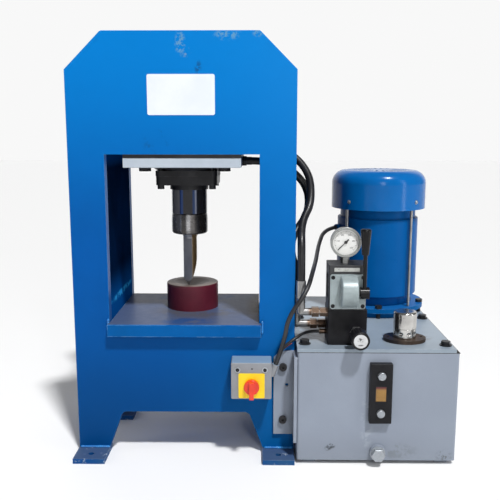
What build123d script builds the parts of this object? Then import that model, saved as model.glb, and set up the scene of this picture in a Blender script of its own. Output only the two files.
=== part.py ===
from build123d import *
import math
import os

os.makedirs("parts", exist_ok=True)

# Hydraulic press with its own oil tank and motor, in millimetres. +Z is up and the floor is z = 0.
# The origin is on the floor under the ram's axis, and the operator stands on the -Y side.

# Press frame
frame_w = 500
frame_h = 950
frame_d = 308
plate_t = 25
shoulder = 80
shoulder_r = 8
column_w = 80
opening_top = 690
leg_w = 72
arch_top = 99
arch_half = 146
arch_r = 14
wall_t = 12
tie_t = 12
rib_x = 60
cap_t = 12
head_t = 25
foot_t = 12
foot_out = 62
rear_foot_w = 92
rear_foot_in = 103
foot_hole_d = 14
foot_hole_x = 214
foot_hole_y = 189
edge_r = 1.5

# Work table and the die that rests on it
table_top = 312
table_t = 28
table_proud = 18
table_gap = 1
lip_left = 2
lip_right = 4
table_rear = 141
die_r = 63
die_h = 62
die_x = 4
die_y = 8
die_edge = 2
dish_r = 44
dish_floor_r = 0.5
dish_depth = 11

# Plates that hang the cylinder in the head, and their bolts
packing_t = 8
mount_t = 21
mount_half = 129
mount_bolt_x = 90
mount_bolt_y = 97
mount_screw_r = 8
mount_screw_in = 22
bolt_clear = 0.5
bolt_fit = 0.1

# Cylinder, ram, nose and punch
bore_d = 125
barrel_d = 150
barrel_drop = 33
barrel_cap = 25
port_drop = 20
barrel_clear = 1
flange_in = 3
flange_half = barrel_d / 2 - flange_in
flange_t = 12
flange_r = 12
cone_flare = 14
cone_low_r = barrel_d / 2 + 3
cone_top_r = cone_low_r + cone_flare
cone_t = 11
gland_half = flange_half - 1
gland_t = 21
gland_collar_r = 46
gland_collar_t = 13
spigot_t = 10
screw_edge = 12
screw_x = flange_half - screw_edge
gland_screw_r = 5
gland_screw_in = 16
ram_d = 85
running_fit = 0.05
seal_groove_r = 49
wiper_w = 6
piston_t = 40
seal_w = 7
seal_depth = 5
ram_bottom = 497
nose_h = 50
nose_r = 43.2
nose_play = 1
spigot_r = 20
spigot_h = 22
punch_r = 16.5
punch_shank_r = 12
punch_tail = 18
punch_collar = 9
punch_flat = 5.4
punch_flat_turn = -28
punch_cone_z = 386
punch_grind_top = 443
punch_grind_mid = (13.2, 412)
punch_grind_low = (5, 384)
punch_tip_r = 1.5
punch_tip_x = -4
punch_gap = 0.4

# Oil ports and hoses
port_thread_r = 8
port_thread_l = 16
port_l = 22
port_seat_r = 15
port_seat_t = 2
lower_port_z = 672
port_hex_low = 22
port_hex_up = 24
port_hex_l = 16
port_neck_l = 8
port_neck_r = 10.5
port_elbow_turn = 60
port_elbow_l = 22
port_low_hex_l = 10
port_low_neck_r = 9.5
hose_b_y = -20
hose_slot_r = 15
hose_d = 18
sleeve_r = 11
sleeve_l = 38
elbow_r = 9.5
fitting_x = 263
fitting_a_y = -160
fitting_a_z = 341
sleeve_a_top = 412
fitting_b_x = 256
fitting_b_y = -115
fitting_b_z = 302
sleeve_b_top = 371

# Oil tank, its lids and its bracket
tank_left = 254
tank_w = 356
tank_front = -208
tank_d = 500
tank_foot_h = 10
tank_wall = 4
tank_top = 260
tank_corner_r = 6
rim_w = 30
gasket_t = 1.5
lid_t = 7.5
lid_inset = 8
seam_from_front = 224
seam_gap = 0.4
foot_bar_w = 30
foot_bar_in = 14
lid_screw_r = 5
washer_r = 13.5
washer_t = 2
lid_hex = 18
flange_hex = 16
bracket_left = 203
bracket_low = 50
bracket_high = 249
bracket_cut = 16
bracket_t = 7
bracket_bolt_x = 224
bracket_bolt_low = 86
bracket_bolt_high = 212
bracket_screw_r = 5
bracket_screw_l = 20
drain_from_left = 181
drain_z = 30
drain_r = 9
drain_boss_r = 18
drain_boss_l = 8
level_from_left = 183.5
level_mid = 171
level_w = 49
level_h = 137
level_t = 14
gauge_bolt_low = 127
gauge_bolt_high = 213
level_screw_r = 5
level_head_r = 9
window_w = 23
window_h = 34
filler_from_right = 108
filler_from_front = 71
filler_w = 96
filler_d = 77
filler_t = 8
neck_r = 23
neck_h = 31
cap_r = 26
cap_h = 38
basket_r = 17
basket_h = 60

# Motor, with the pump under the lid
motor_from_right = 125
motor_from_rear = 126
flange_foot_r = 112
flange_foot_h = 14
flange_disc_r = 125
flange_disc_t = 12
flange_bore_r = 50
flange_bolt_r = 117
flange_bolt_turns = (265, 85, 175, 340)
end_bell_r = 88
end_bell_h = 24
body_r = 105
body_h = 202
shield_t = 46
shield_r = 98
arm_t = 14
cowl_gap = 24
cowl_h = 98
cowl_r = 122
cowl_wall = 2.5
cowl_round = 34
cowl_lug_h = 30
grille_slots = 24
grille_in = 38
grille_out = 82
rod_turns = (308, 218, 128, 38)
rod_circle_r = 114
rod_r = 3.5
shaft_r = 14
rotor_r = 60
fan_r = 96
fan_blades = 8
fan_hub_t = 8
fan_hub_h = 20
fan_disc_t = 3
fan_blade_t = 3
fan_blade_h = 22
fan_tip = 4
fan_drop = 57
bell_r = 58
bell_wall = 8
bell_rim = 14
bell_window_t = 30
bell_window_w = 34
bell_window_h = 28
bell_bottom = 150
pump_bottom = 70
pump_half_w = 45
pump_half_d = 38
pump_round = 12
pump_shaft_r = 8
pump_shaft_l = 40
strainer_off = 25
strainer_pipe_r = 9
strainer_r = 27
strainer_l = 45
strainer_top = 60
coupling_r = 30
coupling_lift = 14
shaft_hold = 25
shaft_over_fan = 2
coupling_top = 226

# Valve stack on the service lid
stack_from_left = 69
stack_front = -178
manifold_w = 86
manifold_d = 78
manifold_top = 349
valve_w = 83
valve_d = 66
valve_top = 450
valve_back = 3
spool_x = 366
spool_z = 377
spool_r = 6.5
spool_bore_l = 60
spool_play = 6
housing_low = 353
housing_high = 430
housing_w = 78
housing_t = 8
boss_r = 35
boss_y = -186
boss_half_w = 18
housing_screw_x = 33
housing_screw_z = 32
housing_screw_r = 2.5
arm_room = 10
lever_y = -199
lever_z = 393
lever_shaft_r = 6
lever_rod_r = 4.5
hub_x = 388
hub_w = 20
hub_r = 13
grip_low = 477
grip_top = 534
grip_low_r = 7.5
grip_top_r = 12
grip_hold = 30
relief_x = 386
relief_z = 298
relief_thread_r = 8
relief_stem_r = 9
relief_front = -246
relief_knob_r = 20
relief_knob_l = 40
gauge_x = 361
gauge_y = -144
gauge_z = 497.5
gauge_front = -158
gauge_r = 34
gauge_dial_r = 29
gauge_l = 28
stem_thread_r = 6

# Switch box on the right leg
box_x = 152.5
box_w = 90
box_h = 84
box_d = 50
box_z = 193
box_wall = 1.5
switch_plate_w = 58
switch_plate_h = 57
switch_plate_t = 1.5
plate_mid_z = 182.5
knob_x = 153
knob_z = 181
knob_r = 17
knob_grip = 23.5
spindle_r = 4

# Cables
cable_r = 5
control_r = 3.5
boss_turn = 190
boss_out = 9
boss_lead = 45
boss_dir = (-0.75, -0.66, -0.05)
cable_boss_z = 492
gland_lean = 20
gland_l = 27
motor_gland = (206.5, -186, 226)
motor_lead = 56
control_gland = (205, -169, 221)
control_lead = 36
control_y = -132
control_z = 288
control_outlet = 16

# Sizes that follow from the ones above
half_w = frame_w / 2
barrel_top = frame_h - cap_t - barrel_drop
bore_top = barrel_top - barrel_cap
upper_port_z = bore_top - port_drop
half_d = frame_d / 2
opening_half = half_w - column_w
plate_in = half_d - plate_t
table_under = table_top - table_t
packing_z = opening_top - packing_t
mount_z = packing_z - mount_t
flange_z = mount_z - cone_t - flange_t
gland_z = flange_z - gland_t
nose_top = ram_bottom + nose_h
stroke = gland_z - gland_collar_t - nose_top - nose_play
piston_z = upper_port_z - port_thread_r - 4 - stroke - piston_t
tip_off = math.hypot(die_x - punch_tip_x, die_y) + punch_tip_r
dish_floor_z = table_top + die_h - dish_depth
punch_tip_z = dish_floor_z + dish_depth * (tip_off - dish_floor_r) / (dish_r - dish_floor_r) + punch_gap
lid_z = tank_top + gasket_t + lid_t
tank_right = tank_left + tank_w
tank_rear = tank_front + tank_d
drain_x = tank_left + drain_from_left
level_x = tank_left + level_from_left
stack_left = tank_left + stack_from_left
filler_x = tank_right - filler_from_right
filler_y = tank_front + filler_from_front
seam_y = tank_front + seam_from_front
motor_x = tank_right - motor_from_right
motor_y = tank_rear - motor_from_rear
lid_bolts = (
    (tank_left + 18, tank_front + 40),
    (tank_right - 24, tank_front + 32),
    (tank_right - 22, seam_y + 38),
    (tank_left + 18, seam_y + 38),
    (tank_left + 18, tank_rear - 22),
    (tank_right - 22, tank_rear - 22),
)
flange_top = lid_z + flange_foot_h + flange_disc_t
flange_bolts = [
    (motor_x + flange_bolt_r * math.cos(math.radians(turn)), motor_y + flange_bolt_r * math.sin(math.radians(turn)))
    for turn in flange_bolt_turns
]
rod_places = [
    (motor_x + rod_circle_r * math.cos(math.radians(turn)), motor_y + rod_circle_r * math.sin(math.radians(turn)))
    for turn in rod_turns
]
body_z0 = flange_top + end_bell_h
body_z1 = body_z0 + body_h
cowl_z0 = body_z1 + cowl_gap
cowl_z1 = cowl_z0 + cowl_h
arm_z = body_z1 + shield_t - arm_t
fan_z = cowl_z1 - fan_drop
lug_r = cowl_r - cowl_wall - 0.2
valve_front = stack_front + valve_back
housing_mid = (housing_low + housing_high) / 2
housing_screws = [
    (stack_left + valve_w / 2 + side * housing_screw_x, housing_mid + end * housing_screw_z)
    for side in (-1, 1) for end in (-1, 1)
]
knob_back = -half_d - box_d - switch_plate_t - 0.3
boss_at = math.radians(boss_turn)
cable_boss = (motor_x + (body_r + boss_out) * math.cos(boss_at), motor_y + (body_r + boss_out) * math.sin(boss_at),
              cable_boss_z)
lean = math.radians(gland_lean)
seat_x = barrel_d / 2 - port_seat_t
elbow_x = seat_x + port_hex_l + port_neck_l
elbow_out = math.radians(port_elbow_turn)
upper_hose = (elbow_x + port_elbow_l * math.cos(elbow_out), 0, upper_port_z - port_elbow_l * math.sin(elbow_out))
head_top = opening_top + head_t


def save(body, name):
    body.label = name
    export_step(body, "parts/" + name + ".step")


def block(x0, x1, y0, y1, z0, z1, mode=Mode.ADD):
    with Locations(((x0 + x1) / 2, (y0 + y1) / 2, (z0 + z1) / 2)):
        return Box(x1 - x0, y1 - y0, z1 - z0, mode=mode)


def rod_x(y, z, r, x0, x1, mode=Mode.ADD):
    with Locations(((x0 + x1) / 2, y, z)):
        return Cylinder(r, x1 - x0, rotation=(0, 90, 0), mode=mode)


def rod_y(x, z, r, y0, y1, mode=Mode.ADD):
    with Locations((x, (y0 + y1) / 2, z)):
        return Cylinder(r, y1 - y0, rotation=(90, 0, 0), mode=mode)


def rod_z(x, y, r, z0, z1, mode=Mode.ADD):
    with Locations((x, y, (z0 + z1) / 2)):
        return Cylinder(r, z1 - z0, mode=mode)


def hex_x(y, z, across, x0, x1, mode=Mode.ADD):
    with BuildSketch(Plane.YZ.offset(x0)) as face:
        with Locations((y, z)):
            RegularPolygon(across / 2, 6, major_radius=False)
    return extrude(face.sketch, amount=x1 - x0, mode=mode)


def hex_y(x, z, across, y0, y1, mode=Mode.ADD):
    with BuildSketch(Plane.XZ.offset(-y1)) as face:
        with Locations((x, z)):
            RegularPolygon(across / 2, 6, major_radius=False)
    return extrude(face.sketch, amount=y1 - y0, mode=mode)


def hex_z(x, y, across, z0, z1, mode=Mode.ADD):
    with BuildSketch(Plane.XY.offset(z0)) as face:
        with Locations((x, y)):
            RegularPolygon(across / 2, 6, major_radius=False)
    return extrude(face.sketch, amount=z1 - z0, mode=mode)


def bend_radii(points):
    radii = []
    for before, here, after in zip(points, points[1:], points[2:]):
        first = Vector(*here) - Vector(*before)
        second = Vector(*after) - Vector(*here)
        turn = math.radians(first.get_angle(second))
        radii.append(0.45 * min(first.length, second.length) / math.tan(turn / 2))
    return radii


def report_cord(name, path, radii, section_r, solid):
    length = sum(edge.length for edge in path.edges())
    tube = math.pi * section_r ** 2 * length
    print(name, "length", round(length, 1), "radii", [round(r, 1) for r in radii],
          "volume ratio", round(solid.volume / tube, 4))


# Side plates of the frame: one profile cut twice, with the press opening and the arch between the feet
def frame_face():
    with BuildSketch() as face:
        with BuildLine():
            Polyline(
                (-half_w, foot_t),
                (-half_w, frame_h - shoulder),
                (-half_w + shoulder, frame_h),
                (half_w - shoulder, frame_h),
                (half_w, frame_h - shoulder),
                (half_w, foot_t),
                (half_w - leg_w, foot_t),
                (arch_half, arch_top),
                (-arch_half, arch_top),
                (-half_w + leg_w, foot_t),
                close=True,
            )
        make_face()
        fillet(face.vertices().filter_by(lambda v: abs(v.Y - frame_h) < 0.01), shoulder_r)
        fillet(face.vertices().filter_by(lambda v: abs(v.Y - arch_top) < 0.01), arch_r)
        with Locations((0, (opening_top + table_under) / 2)):
            Rectangle(2 * opening_half, opening_top - table_under, mode=Mode.SUBTRACT)
    return face.sketch


with BuildPart() as front_plate:
    with BuildSketch(Plane.XZ.offset(plate_in)):
        add(frame_face())
    extrude(amount=plate_t)
    chamfer(front_plate.faces().sort_by(Axis.Y)[0].outer_wire().edges(), edge_r)
    # Tapped holes for the tank bracket and the switch box
    for hole_z in (bracket_bolt_low, bracket_bolt_high):
        rod_y(bracket_bolt_x, hole_z, bracket_screw_r + bolt_fit, -half_d, -half_d + bracket_screw_l,
              mode=Mode.SUBTRACT)
save(front_plate.part, "front_plate")

with BuildPart() as rear_plate:
    with BuildSketch(Plane.XZ.offset(-half_d)):
        add(frame_face())
    extrude(amount=plate_t)
    chamfer(rear_plate.faces().sort_by(Axis.Y)[-1].outer_wire().edges(), edge_r)
save(rear_plate.part, "rear_plate")

# Inner walls of the two columns; the right one has a slot where the lower hose leaves the opening
with BuildPart() as inner_walls:
    block(opening_half, opening_half + wall_t, -plate_in, plate_in, arch_top, opening_top)
    block(opening_half - 1, opening_half + wall_t + 1, hose_b_y - hose_slot_r, hose_b_y + hose_slot_r,
          lower_port_z - 6, opening_top + 1, mode=Mode.SUBTRACT)
    rod_x(hose_b_y, lower_port_z - 6, hose_slot_r, opening_half - 1, opening_half + wall_t + 1,
          mode=Mode.SUBTRACT)
    block(-opening_half - wall_t, -opening_half, -plate_in, plate_in, arch_top, opening_top)
save(inner_walls.part, "inner_walls")

# Tie plate over the arch and the two ribs that carry the table
with BuildPart() as bed_supports:
    block(-opening_half, opening_half, -plate_in, plate_in, arch_top, arch_top + tie_t)
    block(-rib_x - wall_t / 2, -rib_x + wall_t / 2, -plate_in, plate_in, arch_top + tie_t, table_under)
    block(rib_x - wall_t / 2, rib_x + wall_t / 2, -plate_in, plate_in, arch_top + tie_t, table_under)
save(bed_supports.part, "bed_supports")

# Head plate that the cylinder hangs from, and the cap plate over the frame
with BuildPart() as head_plates:
    block(-opening_half - wall_t, opening_half + wall_t, -plate_in, plate_in,
          opening_top, opening_top + head_t)
    rod_z(0, 0, barrel_d / 2 + barrel_clear, opening_top, opening_top + head_t, mode=Mode.SUBTRACT)
    for bolt_x in (-mount_bolt_x, mount_bolt_x):
        for bolt_y in (-mount_bolt_y, mount_bolt_y):
            rod_z(bolt_x, bolt_y, mount_screw_r + bolt_fit, opening_top, opening_top + mount_screw_in,
                  mode=Mode.SUBTRACT)
    block(-opening_half + 5, opening_half - 5, -plate_in, plate_in, frame_h - cap_t, frame_h)
save(head_plates.part, "head_plates")

# Foot pads with the holes for floor bolts
with BuildPart() as foot_pads:
    for side in (-1, 1):
        with Locations((side * (half_w - leg_w / 2), -(plate_in + half_d + foot_out) / 2, foot_t / 2)):
            Box(leg_w, half_d + foot_out - plate_in, foot_t)
        with Locations((side * (half_w - rear_foot_w / 2), (half_d + foot_out) - (half_d + foot_out
                        - plate_in + rear_foot_in) / 2, foot_t / 2)):
            Box(rear_foot_w, half_d + foot_out - plate_in + rear_foot_in, foot_t)
        for hole_y in (-foot_hole_y, foot_hole_y):
            rod_z(side * foot_hole_x, hole_y, foot_hole_d / 2, 0, foot_t, mode=Mode.SUBTRACT)
save(foot_pads.part, "foot_pads")

# Work table: a thick plate let into both side plates
with BuildPart() as work_table:
    block(-opening_half + table_gap, opening_half - table_gap, -half_d - table_proud, table_rear,
          table_under, table_top)
    # The lip in front of the side plate is a little wider than the opening
    block(-opening_half - lip_left, opening_half + lip_right, -half_d - table_proud, -half_d,
          table_under, table_top)
    chamfer(work_table.faces().sort_by(Axis.Z)[-1].edges().filter_by(Axis.X), edge_r)
save(work_table.part, "work_table")

# Die with a shallow cone in its top
with BuildPart() as die:
    rod_z(die_x, die_y, die_r, table_top, table_top + die_h)
    fillet(die.faces().sort_by(Axis.Z)[-1].edges(), die_edge)
    with Locations((die_x, die_y, table_top + die_h - dish_depth / 2)):
        Cone(dish_floor_r, dish_r, dish_depth, mode=Mode.SUBTRACT)
save(die.part, "die")

# Packing plate and mounting plate under the head plate
with BuildPart() as packing_plate:
    block(-mount_half, mount_half, -half_d, half_d, packing_z, opening_top)
    rod_z(0, 0, barrel_d / 2 + barrel_clear, packing_z, opening_top, mode=Mode.SUBTRACT)
    for bolt_x in (-mount_bolt_x, mount_bolt_x):
        for bolt_y in (-mount_bolt_y, mount_bolt_y):
            rod_z(bolt_x, bolt_y, mount_screw_r + bolt_clear, packing_z, opening_top, mode=Mode.SUBTRACT)
save(packing_plate.part, "packing_plate")

with BuildPart() as mounting_plate:
    block(-mount_half, mount_half, -half_d, half_d, mount_z, packing_z)
    chamfer(mounting_plate.faces().sort_by(Axis.Y)[0].edges().filter_by(Axis.X), edge_r)
    rod_z(0, 0, barrel_d / 2 + barrel_clear, mount_z, packing_z, mode=Mode.SUBTRACT)
    for bolt_x in (-mount_bolt_x, mount_bolt_x):
        for bolt_y in (-mount_bolt_y, mount_bolt_y):
            rod_z(bolt_x, bolt_y, mount_screw_r + bolt_clear, mount_z, packing_z, mode=Mode.SUBTRACT)
    for bolt_x in (-screw_x, screw_x):
        for bolt_y in (-screw_x, screw_x):
            rod_z(bolt_x, bolt_y, gland_screw_r + bolt_fit, mount_z, mount_z + gland_screw_in,
                  mode=Mode.SUBTRACT)
    rod_x(hose_b_y, lower_port_z, port_thread_r + bolt_fit, mount_half - port_thread_l, mount_half,
          mode=Mode.SUBTRACT)
save(mounting_plate.part, "mounting_plate")

# Hex bolts of the mounting plate, the tank lid and the motor flange
with BuildPart() as hex_bolts:
    for bolt_x in (-mount_bolt_x, mount_bolt_x):
        for bolt_y in (-mount_bolt_y, mount_bolt_y):
            hex_z(bolt_x, bolt_y, 24, mount_z - 10, mount_z)
            rod_z(bolt_x, bolt_y, mount_screw_r, mount_z, opening_top + mount_screw_in - 1)
    for bolt_x, bolt_y in lid_bolts:
        rod_z(bolt_x, bolt_y, washer_r, lid_z, lid_z + washer_t)
        hex_z(bolt_x, bolt_y, lid_hex, lid_z + washer_t, lid_z + washer_t + 8)
        rod_z(bolt_x, bolt_y, lid_screw_r, tank_top - tank_wall, lid_z)
    for bolt_x, bolt_y in flange_bolts:
        hex_z(bolt_x, bolt_y, flange_hex, flange_top, flange_top + 8)
        rod_z(bolt_x, bolt_y, lid_screw_r, lid_z - lid_t, flange_top)
save(hex_bolts.part, "hex_bolts")

# Cylinder barrel with a closed top and a square flange
with BuildPart() as cylinder_barrel:
    rod_z(0, 0, barrel_d / 2, flange_z, barrel_top)
    fillet(cylinder_barrel.faces().sort_by(Axis.Z)[-1].edges(), 4)
    with BuildSketch(Plane.XY.offset(flange_z)):
        RectangleRounded(2 * flange_half, 2 * flange_half, flange_r)
    extrude(amount=flange_t)
    with Locations((0, 0, mount_z - cone_t / 2)):
        Cone(cone_low_r, cone_top_r, cone_t)
    rod_z(0, 0, bore_d / 2, flange_z, bore_top, mode=Mode.SUBTRACT)
    for bolt_x in (-screw_x, screw_x):
        for bolt_y in (-screw_x, screw_x):
            rod_z(bolt_x, bolt_y, gland_screw_r + bolt_fit, flange_z, mount_z, mode=Mode.SUBTRACT)
    # Flat seat and thread of the upper oil port
    rod_x(0, upper_port_z, port_seat_r, barrel_d / 2 - port_seat_t, barrel_d / 2 + 1, mode=Mode.SUBTRACT)
    rod_x(0, upper_port_z, port_thread_r + bolt_fit, bore_d / 2 - 1, barrel_d / 2, mode=Mode.SUBTRACT)
save(cylinder_barrel.part, "cylinder_barrel")

# Gland that closes the barrel around the ram
with BuildPart() as gland:
    with BuildSketch(Plane.XY.offset(gland_z)):
        RectangleRounded(2 * gland_half, 2 * gland_half, flange_r)
    extrude(amount=gland_t)
    rod_z(0, 0, gland_collar_r, gland_z - gland_collar_t, gland_z)
    rod_z(0, 0, bore_d / 2 - 0.2, flange_z, flange_z + spigot_t)
    rod_z(0, 0, ram_d / 2 + running_fit + 0.3, gland_z - gland_collar_t, flange_z + spigot_t,
          mode=Mode.SUBTRACT)
    rod_z(0, 0, seal_groove_r, gland_z + wiper_w, gland_z + 2 * wiper_w, mode=Mode.SUBTRACT)
    for bolt_x in (-screw_x, screw_x):
        for bolt_y in (-screw_x, screw_x):
            rod_z(bolt_x, bolt_y, gland_screw_r + bolt_fit, gland_z, flange_z, mode=Mode.SUBTRACT)
save(gland.part, "gland")

with BuildPart() as rod_seal:
    rod_z(0, 0, seal_groove_r, gland_z + wiper_w, gland_z + 2 * wiper_w)
    rod_z(0, 0, ram_d / 2 + running_fit, gland_z + wiper_w, gland_z + 2 * wiper_w, mode=Mode.SUBTRACT)
save(rod_seal.part, "rod_seal")

# Socket screws of the gland, the lever housing and the tank bracket
with BuildPart() as socket_screws:
    for bolt_x in (-screw_x, screw_x):
        for bolt_y in (-screw_x, screw_x):
            rod_z(bolt_x, bolt_y, gland_screw_r, gland_z, mount_z + gland_screw_in - 1)
            rod_z(bolt_x, bolt_y, 8, gland_z - 9, gland_z)
            hex_z(bolt_x, bolt_y, 8, gland_z - 9, gland_z - 4, mode=Mode.SUBTRACT)
    for bolt_x, bolt_z in housing_screws:
        rod_y(bolt_x, bolt_z, housing_screw_r, valve_front - housing_t + 5, valve_front + 11)
        rod_y(bolt_x, bolt_z, 4.5, valve_front - housing_t + 1, valve_front - housing_t + 5)
        hex_y(bolt_x, bolt_z, 4, valve_front - housing_t + 1, valve_front - housing_t + 3, mode=Mode.SUBTRACT)
    for hole_z in (bracket_bolt_low, bracket_bolt_high):
        rod_y(bracket_bolt_x, hole_z, bracket_screw_r, -half_d - bracket_t, -half_d + bracket_screw_l - 1)
        rod_y(bracket_bolt_x, hole_z, 9, -half_d - bracket_t - 7, -half_d - bracket_t)
        hex_y(bracket_bolt_x, hole_z, 7, -half_d - bracket_t - 7, -half_d - bracket_t - 3,
              mode=Mode.SUBTRACT)
save(socket_screws.part, "socket_screws")

# Piston, its seals, the ram and the ram's nose
with BuildPart() as piston:
    rod_z(0, 0, bore_d / 2 - running_fit, piston_z, piston_z + piston_t)
    for groove_z in (piston_z + seal_w, piston_z + piston_t - 2 * seal_w):
        rod_z(0, 0, bore_d / 2 + 1, groove_z, groove_z + seal_w, mode=Mode.SUBTRACT)
        rod_z(0, 0, bore_d / 2 - seal_depth, groove_z, groove_z + seal_w)
    rod_z(0, 0, spigot_r + running_fit, piston_z, piston_z + piston_t, mode=Mode.SUBTRACT)
save(piston.part, "piston")

with BuildPart() as piston_seals:
    for groove_z in (piston_z + seal_w, piston_z + piston_t - 2 * seal_w):
        rod_z(0, 0, bore_d / 2 - running_fit, groove_z, groove_z + seal_w)
        rod_z(0, 0, bore_d / 2 - seal_depth, groove_z, groove_z + seal_w, mode=Mode.SUBTRACT)
save(piston_seals.part, "piston_seals")

with BuildPart() as ram:
    rod_z(0, 0, ram_d / 2, ram_bottom + nose_h, piston_z)
    rod_z(0, 0, spigot_r, piston_z, piston_z + piston_t)
    rod_z(0, 0, spigot_r + running_fit, ram_bottom + nose_h, ram_bottom + nose_h + spigot_h + 1,
          mode=Mode.SUBTRACT)
save(ram.part, "ram")

with BuildPart() as ram_nose:
    with BuildSketch(Plane.XZ):
        with BuildLine():
            Polyline(
                (0, ram_bottom),
                (nose_r, ram_bottom),
                (nose_r, ram_bottom + nose_h * 0.7),
                (ram_d / 2, ram_bottom + nose_h - 3),
                (ram_d / 2 - 3, ram_bottom + nose_h),
                (spigot_r, ram_bottom + nose_h),
                (spigot_r, ram_bottom + nose_h + spigot_h),
                (0, ram_bottom + nose_h + spigot_h),
                close=True,
            )
        make_face()
    revolve(axis=Axis.Z)
    fillet(ram_nose.faces().sort_by(Axis.Z)[0].edges(), 6)
    rod_z(0, 0, punch_shank_r + running_fit, ram_bottom, ram_bottom + punch_tail + 1, mode=Mode.SUBTRACT)
save(ram_nose.part, "ram_nose")

# Punch: a round bar with one flat, a slanted point and a worn collar under the nose
with BuildPart() as punch:
    rod_z(0, 0, punch_shank_r, ram_bottom, ram_bottom + punch_tail)
    with BuildSketch(Plane.XY.offset(ram_bottom)):
        with Locations((2, 0)):
            Circle(punch_r + 4)
    with BuildSketch(Plane.XY.offset(ram_bottom - punch_collar)):
        Circle(punch_r)
    loft()
    rod_z(0, 0, punch_r, punch_cone_z, ram_bottom - punch_collar)
    with BuildSketch(Plane.XY.offset(punch_cone_z)):
        Circle(punch_r)
    with BuildSketch(Plane.XY.offset(punch_tip_z)):
        with Locations((punch_tip_x, 0)):
            Circle(punch_tip_r)
    loft()
    # The right flank is ground in a long curve down to the tip
    with BuildSketch(Plane.XZ.offset(-2 * punch_r)):
        with BuildLine():
            ThreePointArc((punch_r, punch_grind_top), punch_grind_mid, punch_grind_low)
            Polyline(punch_grind_low, (punch_tip_x + punch_tip_r, punch_tip_z), (2 * punch_r, punch_tip_z),
                     (2 * punch_r, punch_grind_top), (punch_r, punch_grind_top))
        make_face()
    extrude(amount=4 * punch_r, mode=Mode.SUBTRACT)
    # The flat on the front left side
    with Locations(Location((0, 0, punch_tip_z - 1), (0, 0, punch_flat_turn))):
        with Locations((0, punch_flat - punch_r, 0)):
            Box(4 * punch_r, punch_r, ram_bottom - punch_collar - 2 - punch_tip_z,
                align=(Align.CENTER, Align.MAX, Align.MIN), mode=Mode.SUBTRACT)
save(punch.part, "punch")

# Oil ports: straight union in the mounting plate below, bent union on the barrel above
with BuildPart() as port_elbows:
    rod_x(hose_b_y, lower_port_z, port_thread_r, mount_half - port_thread_l + 1, mount_half)
    hex_x(hose_b_y, lower_port_z, port_hex_low, mount_half, mount_half + port_low_hex_l)
    rod_x(hose_b_y, lower_port_z, port_low_neck_r, mount_half + port_low_hex_l, mount_half + port_l)
    rod_x(0, upper_port_z, port_thread_r, bore_d / 2 + 2, seat_x)
    hex_x(0, upper_port_z, port_hex_up, seat_x, seat_x + port_hex_l)
    rod_x(0, upper_port_z, port_neck_r, seat_x + port_hex_l, elbow_x)
    with Locations((elbow_x, 0, upper_port_z)):
        Sphere(port_neck_r)
    with Locations(Location((elbow_x, 0, upper_port_z), (0, 90 + port_elbow_turn, 0))):
        Cylinder(port_neck_r, port_elbow_l, align=(Align.CENTER, Align.CENTER, Align.MIN))
save(port_elbows.part, "port_elbows")

# Oil hoses from the cylinder's ports to the valve stack
hose_over_head = head_top + 0.39 * (upper_port_z - head_top)
hose_a_points = [
    upper_hose,
    (upper_hose[0] + (upper_hose[2] - hose_over_head) / math.tan(elbow_out), 0, hose_over_head),
    (212, -16, opening_top + 21),
    (286, -32, opening_top - 35),
    (292, -64, 577),
    (265, -102, 536),
    (fitting_x, fitting_a_y, sleeve_a_top + 69),
    (fitting_x, fitting_a_y, sleeve_a_top),
]
hose_a_radii = bend_radii(hose_a_points)
with BuildPart() as hose_a:
    with BuildLine() as hose_a_path:
        FilletPolyline(*hose_a_points, radius=hose_a_radii)
    with BuildSketch(Plane(origin=hose_a_path.line @ 0, z_dir=hose_a_path.line % 0)):
        Circle(hose_d / 2)
    sweep(path=hose_a_path.line)
report_cord("hose_a", hose_a_path.line, hose_a_radii, hose_d / 2, hose_a.part)
save(hose_a.part, "hose_a")

hose_b_points = [
    (mount_half + port_l, hose_b_y, lower_port_z),
    (mount_half + port_l + 65, hose_b_y, lower_port_z),
    (284, -8, lower_port_z - 54),
    (289, -18, 550),
    (250, -50, 502),
    (242, -86, 466),
    (fitting_b_x, fitting_b_y, sleeve_b_top + 53),
    (fitting_b_x, fitting_b_y, sleeve_b_top),
]
hose_b_radii = bend_radii(hose_b_points)
with BuildPart() as hose_b:
    with BuildLine() as hose_b_path:
        FilletPolyline(*hose_b_points, radius=hose_b_radii)
    with BuildSketch(Plane(origin=hose_b_path.line @ 0, z_dir=hose_b_path.line % 0)):
        Circle(hose_d / 2)
    sweep(path=hose_b_path.line)
report_cord("hose_b", hose_b_path.line, hose_b_radii, hose_d / 2, hose_b.part)
save(hose_b.part, "hose_b")

# Crimp sleeves at the hoses' lower ends
with BuildPart() as hose_sleeves:
    for at_x, at_y, top in ((fitting_x, fitting_a_y, sleeve_a_top), (fitting_b_x, fitting_b_y, sleeve_b_top)):
        rod_z(at_x, at_y, sleeve_r, top - sleeve_l, top)
save(hose_sleeves.part, "hose_sleeves")

# Elbows, nuts and adaptors between the sleeves and the manifold
with BuildPart() as port_fittings:
    for at_x, at_y, at_z, top in (
        (fitting_x, fitting_a_y, fitting_a_z, sleeve_a_top - sleeve_l),
        (fitting_b_x, fitting_b_y, fitting_b_z, sleeve_b_top - sleeve_l),
    ):
        rod_z(at_x, at_y, elbow_r, at_z, top)
        with Locations((at_x, at_y, at_z)):
            Sphere(elbow_r)
        rod_x(at_y, at_z, elbow_r - 1, at_x, stack_left - 36)
        hex_x(at_y, at_z, 21, stack_left - 36, stack_left - 20)
        rod_x(at_y, at_z, 7, stack_left - 20, stack_left - 18)
        hex_x(at_y, at_z, 19, stack_left - 18, stack_left)
    # Cable outlet of the control line
    rod_x(control_y, control_z, 6, stack_left - control_outlet, stack_left)
save(port_fittings.part, "port_fittings")

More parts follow.
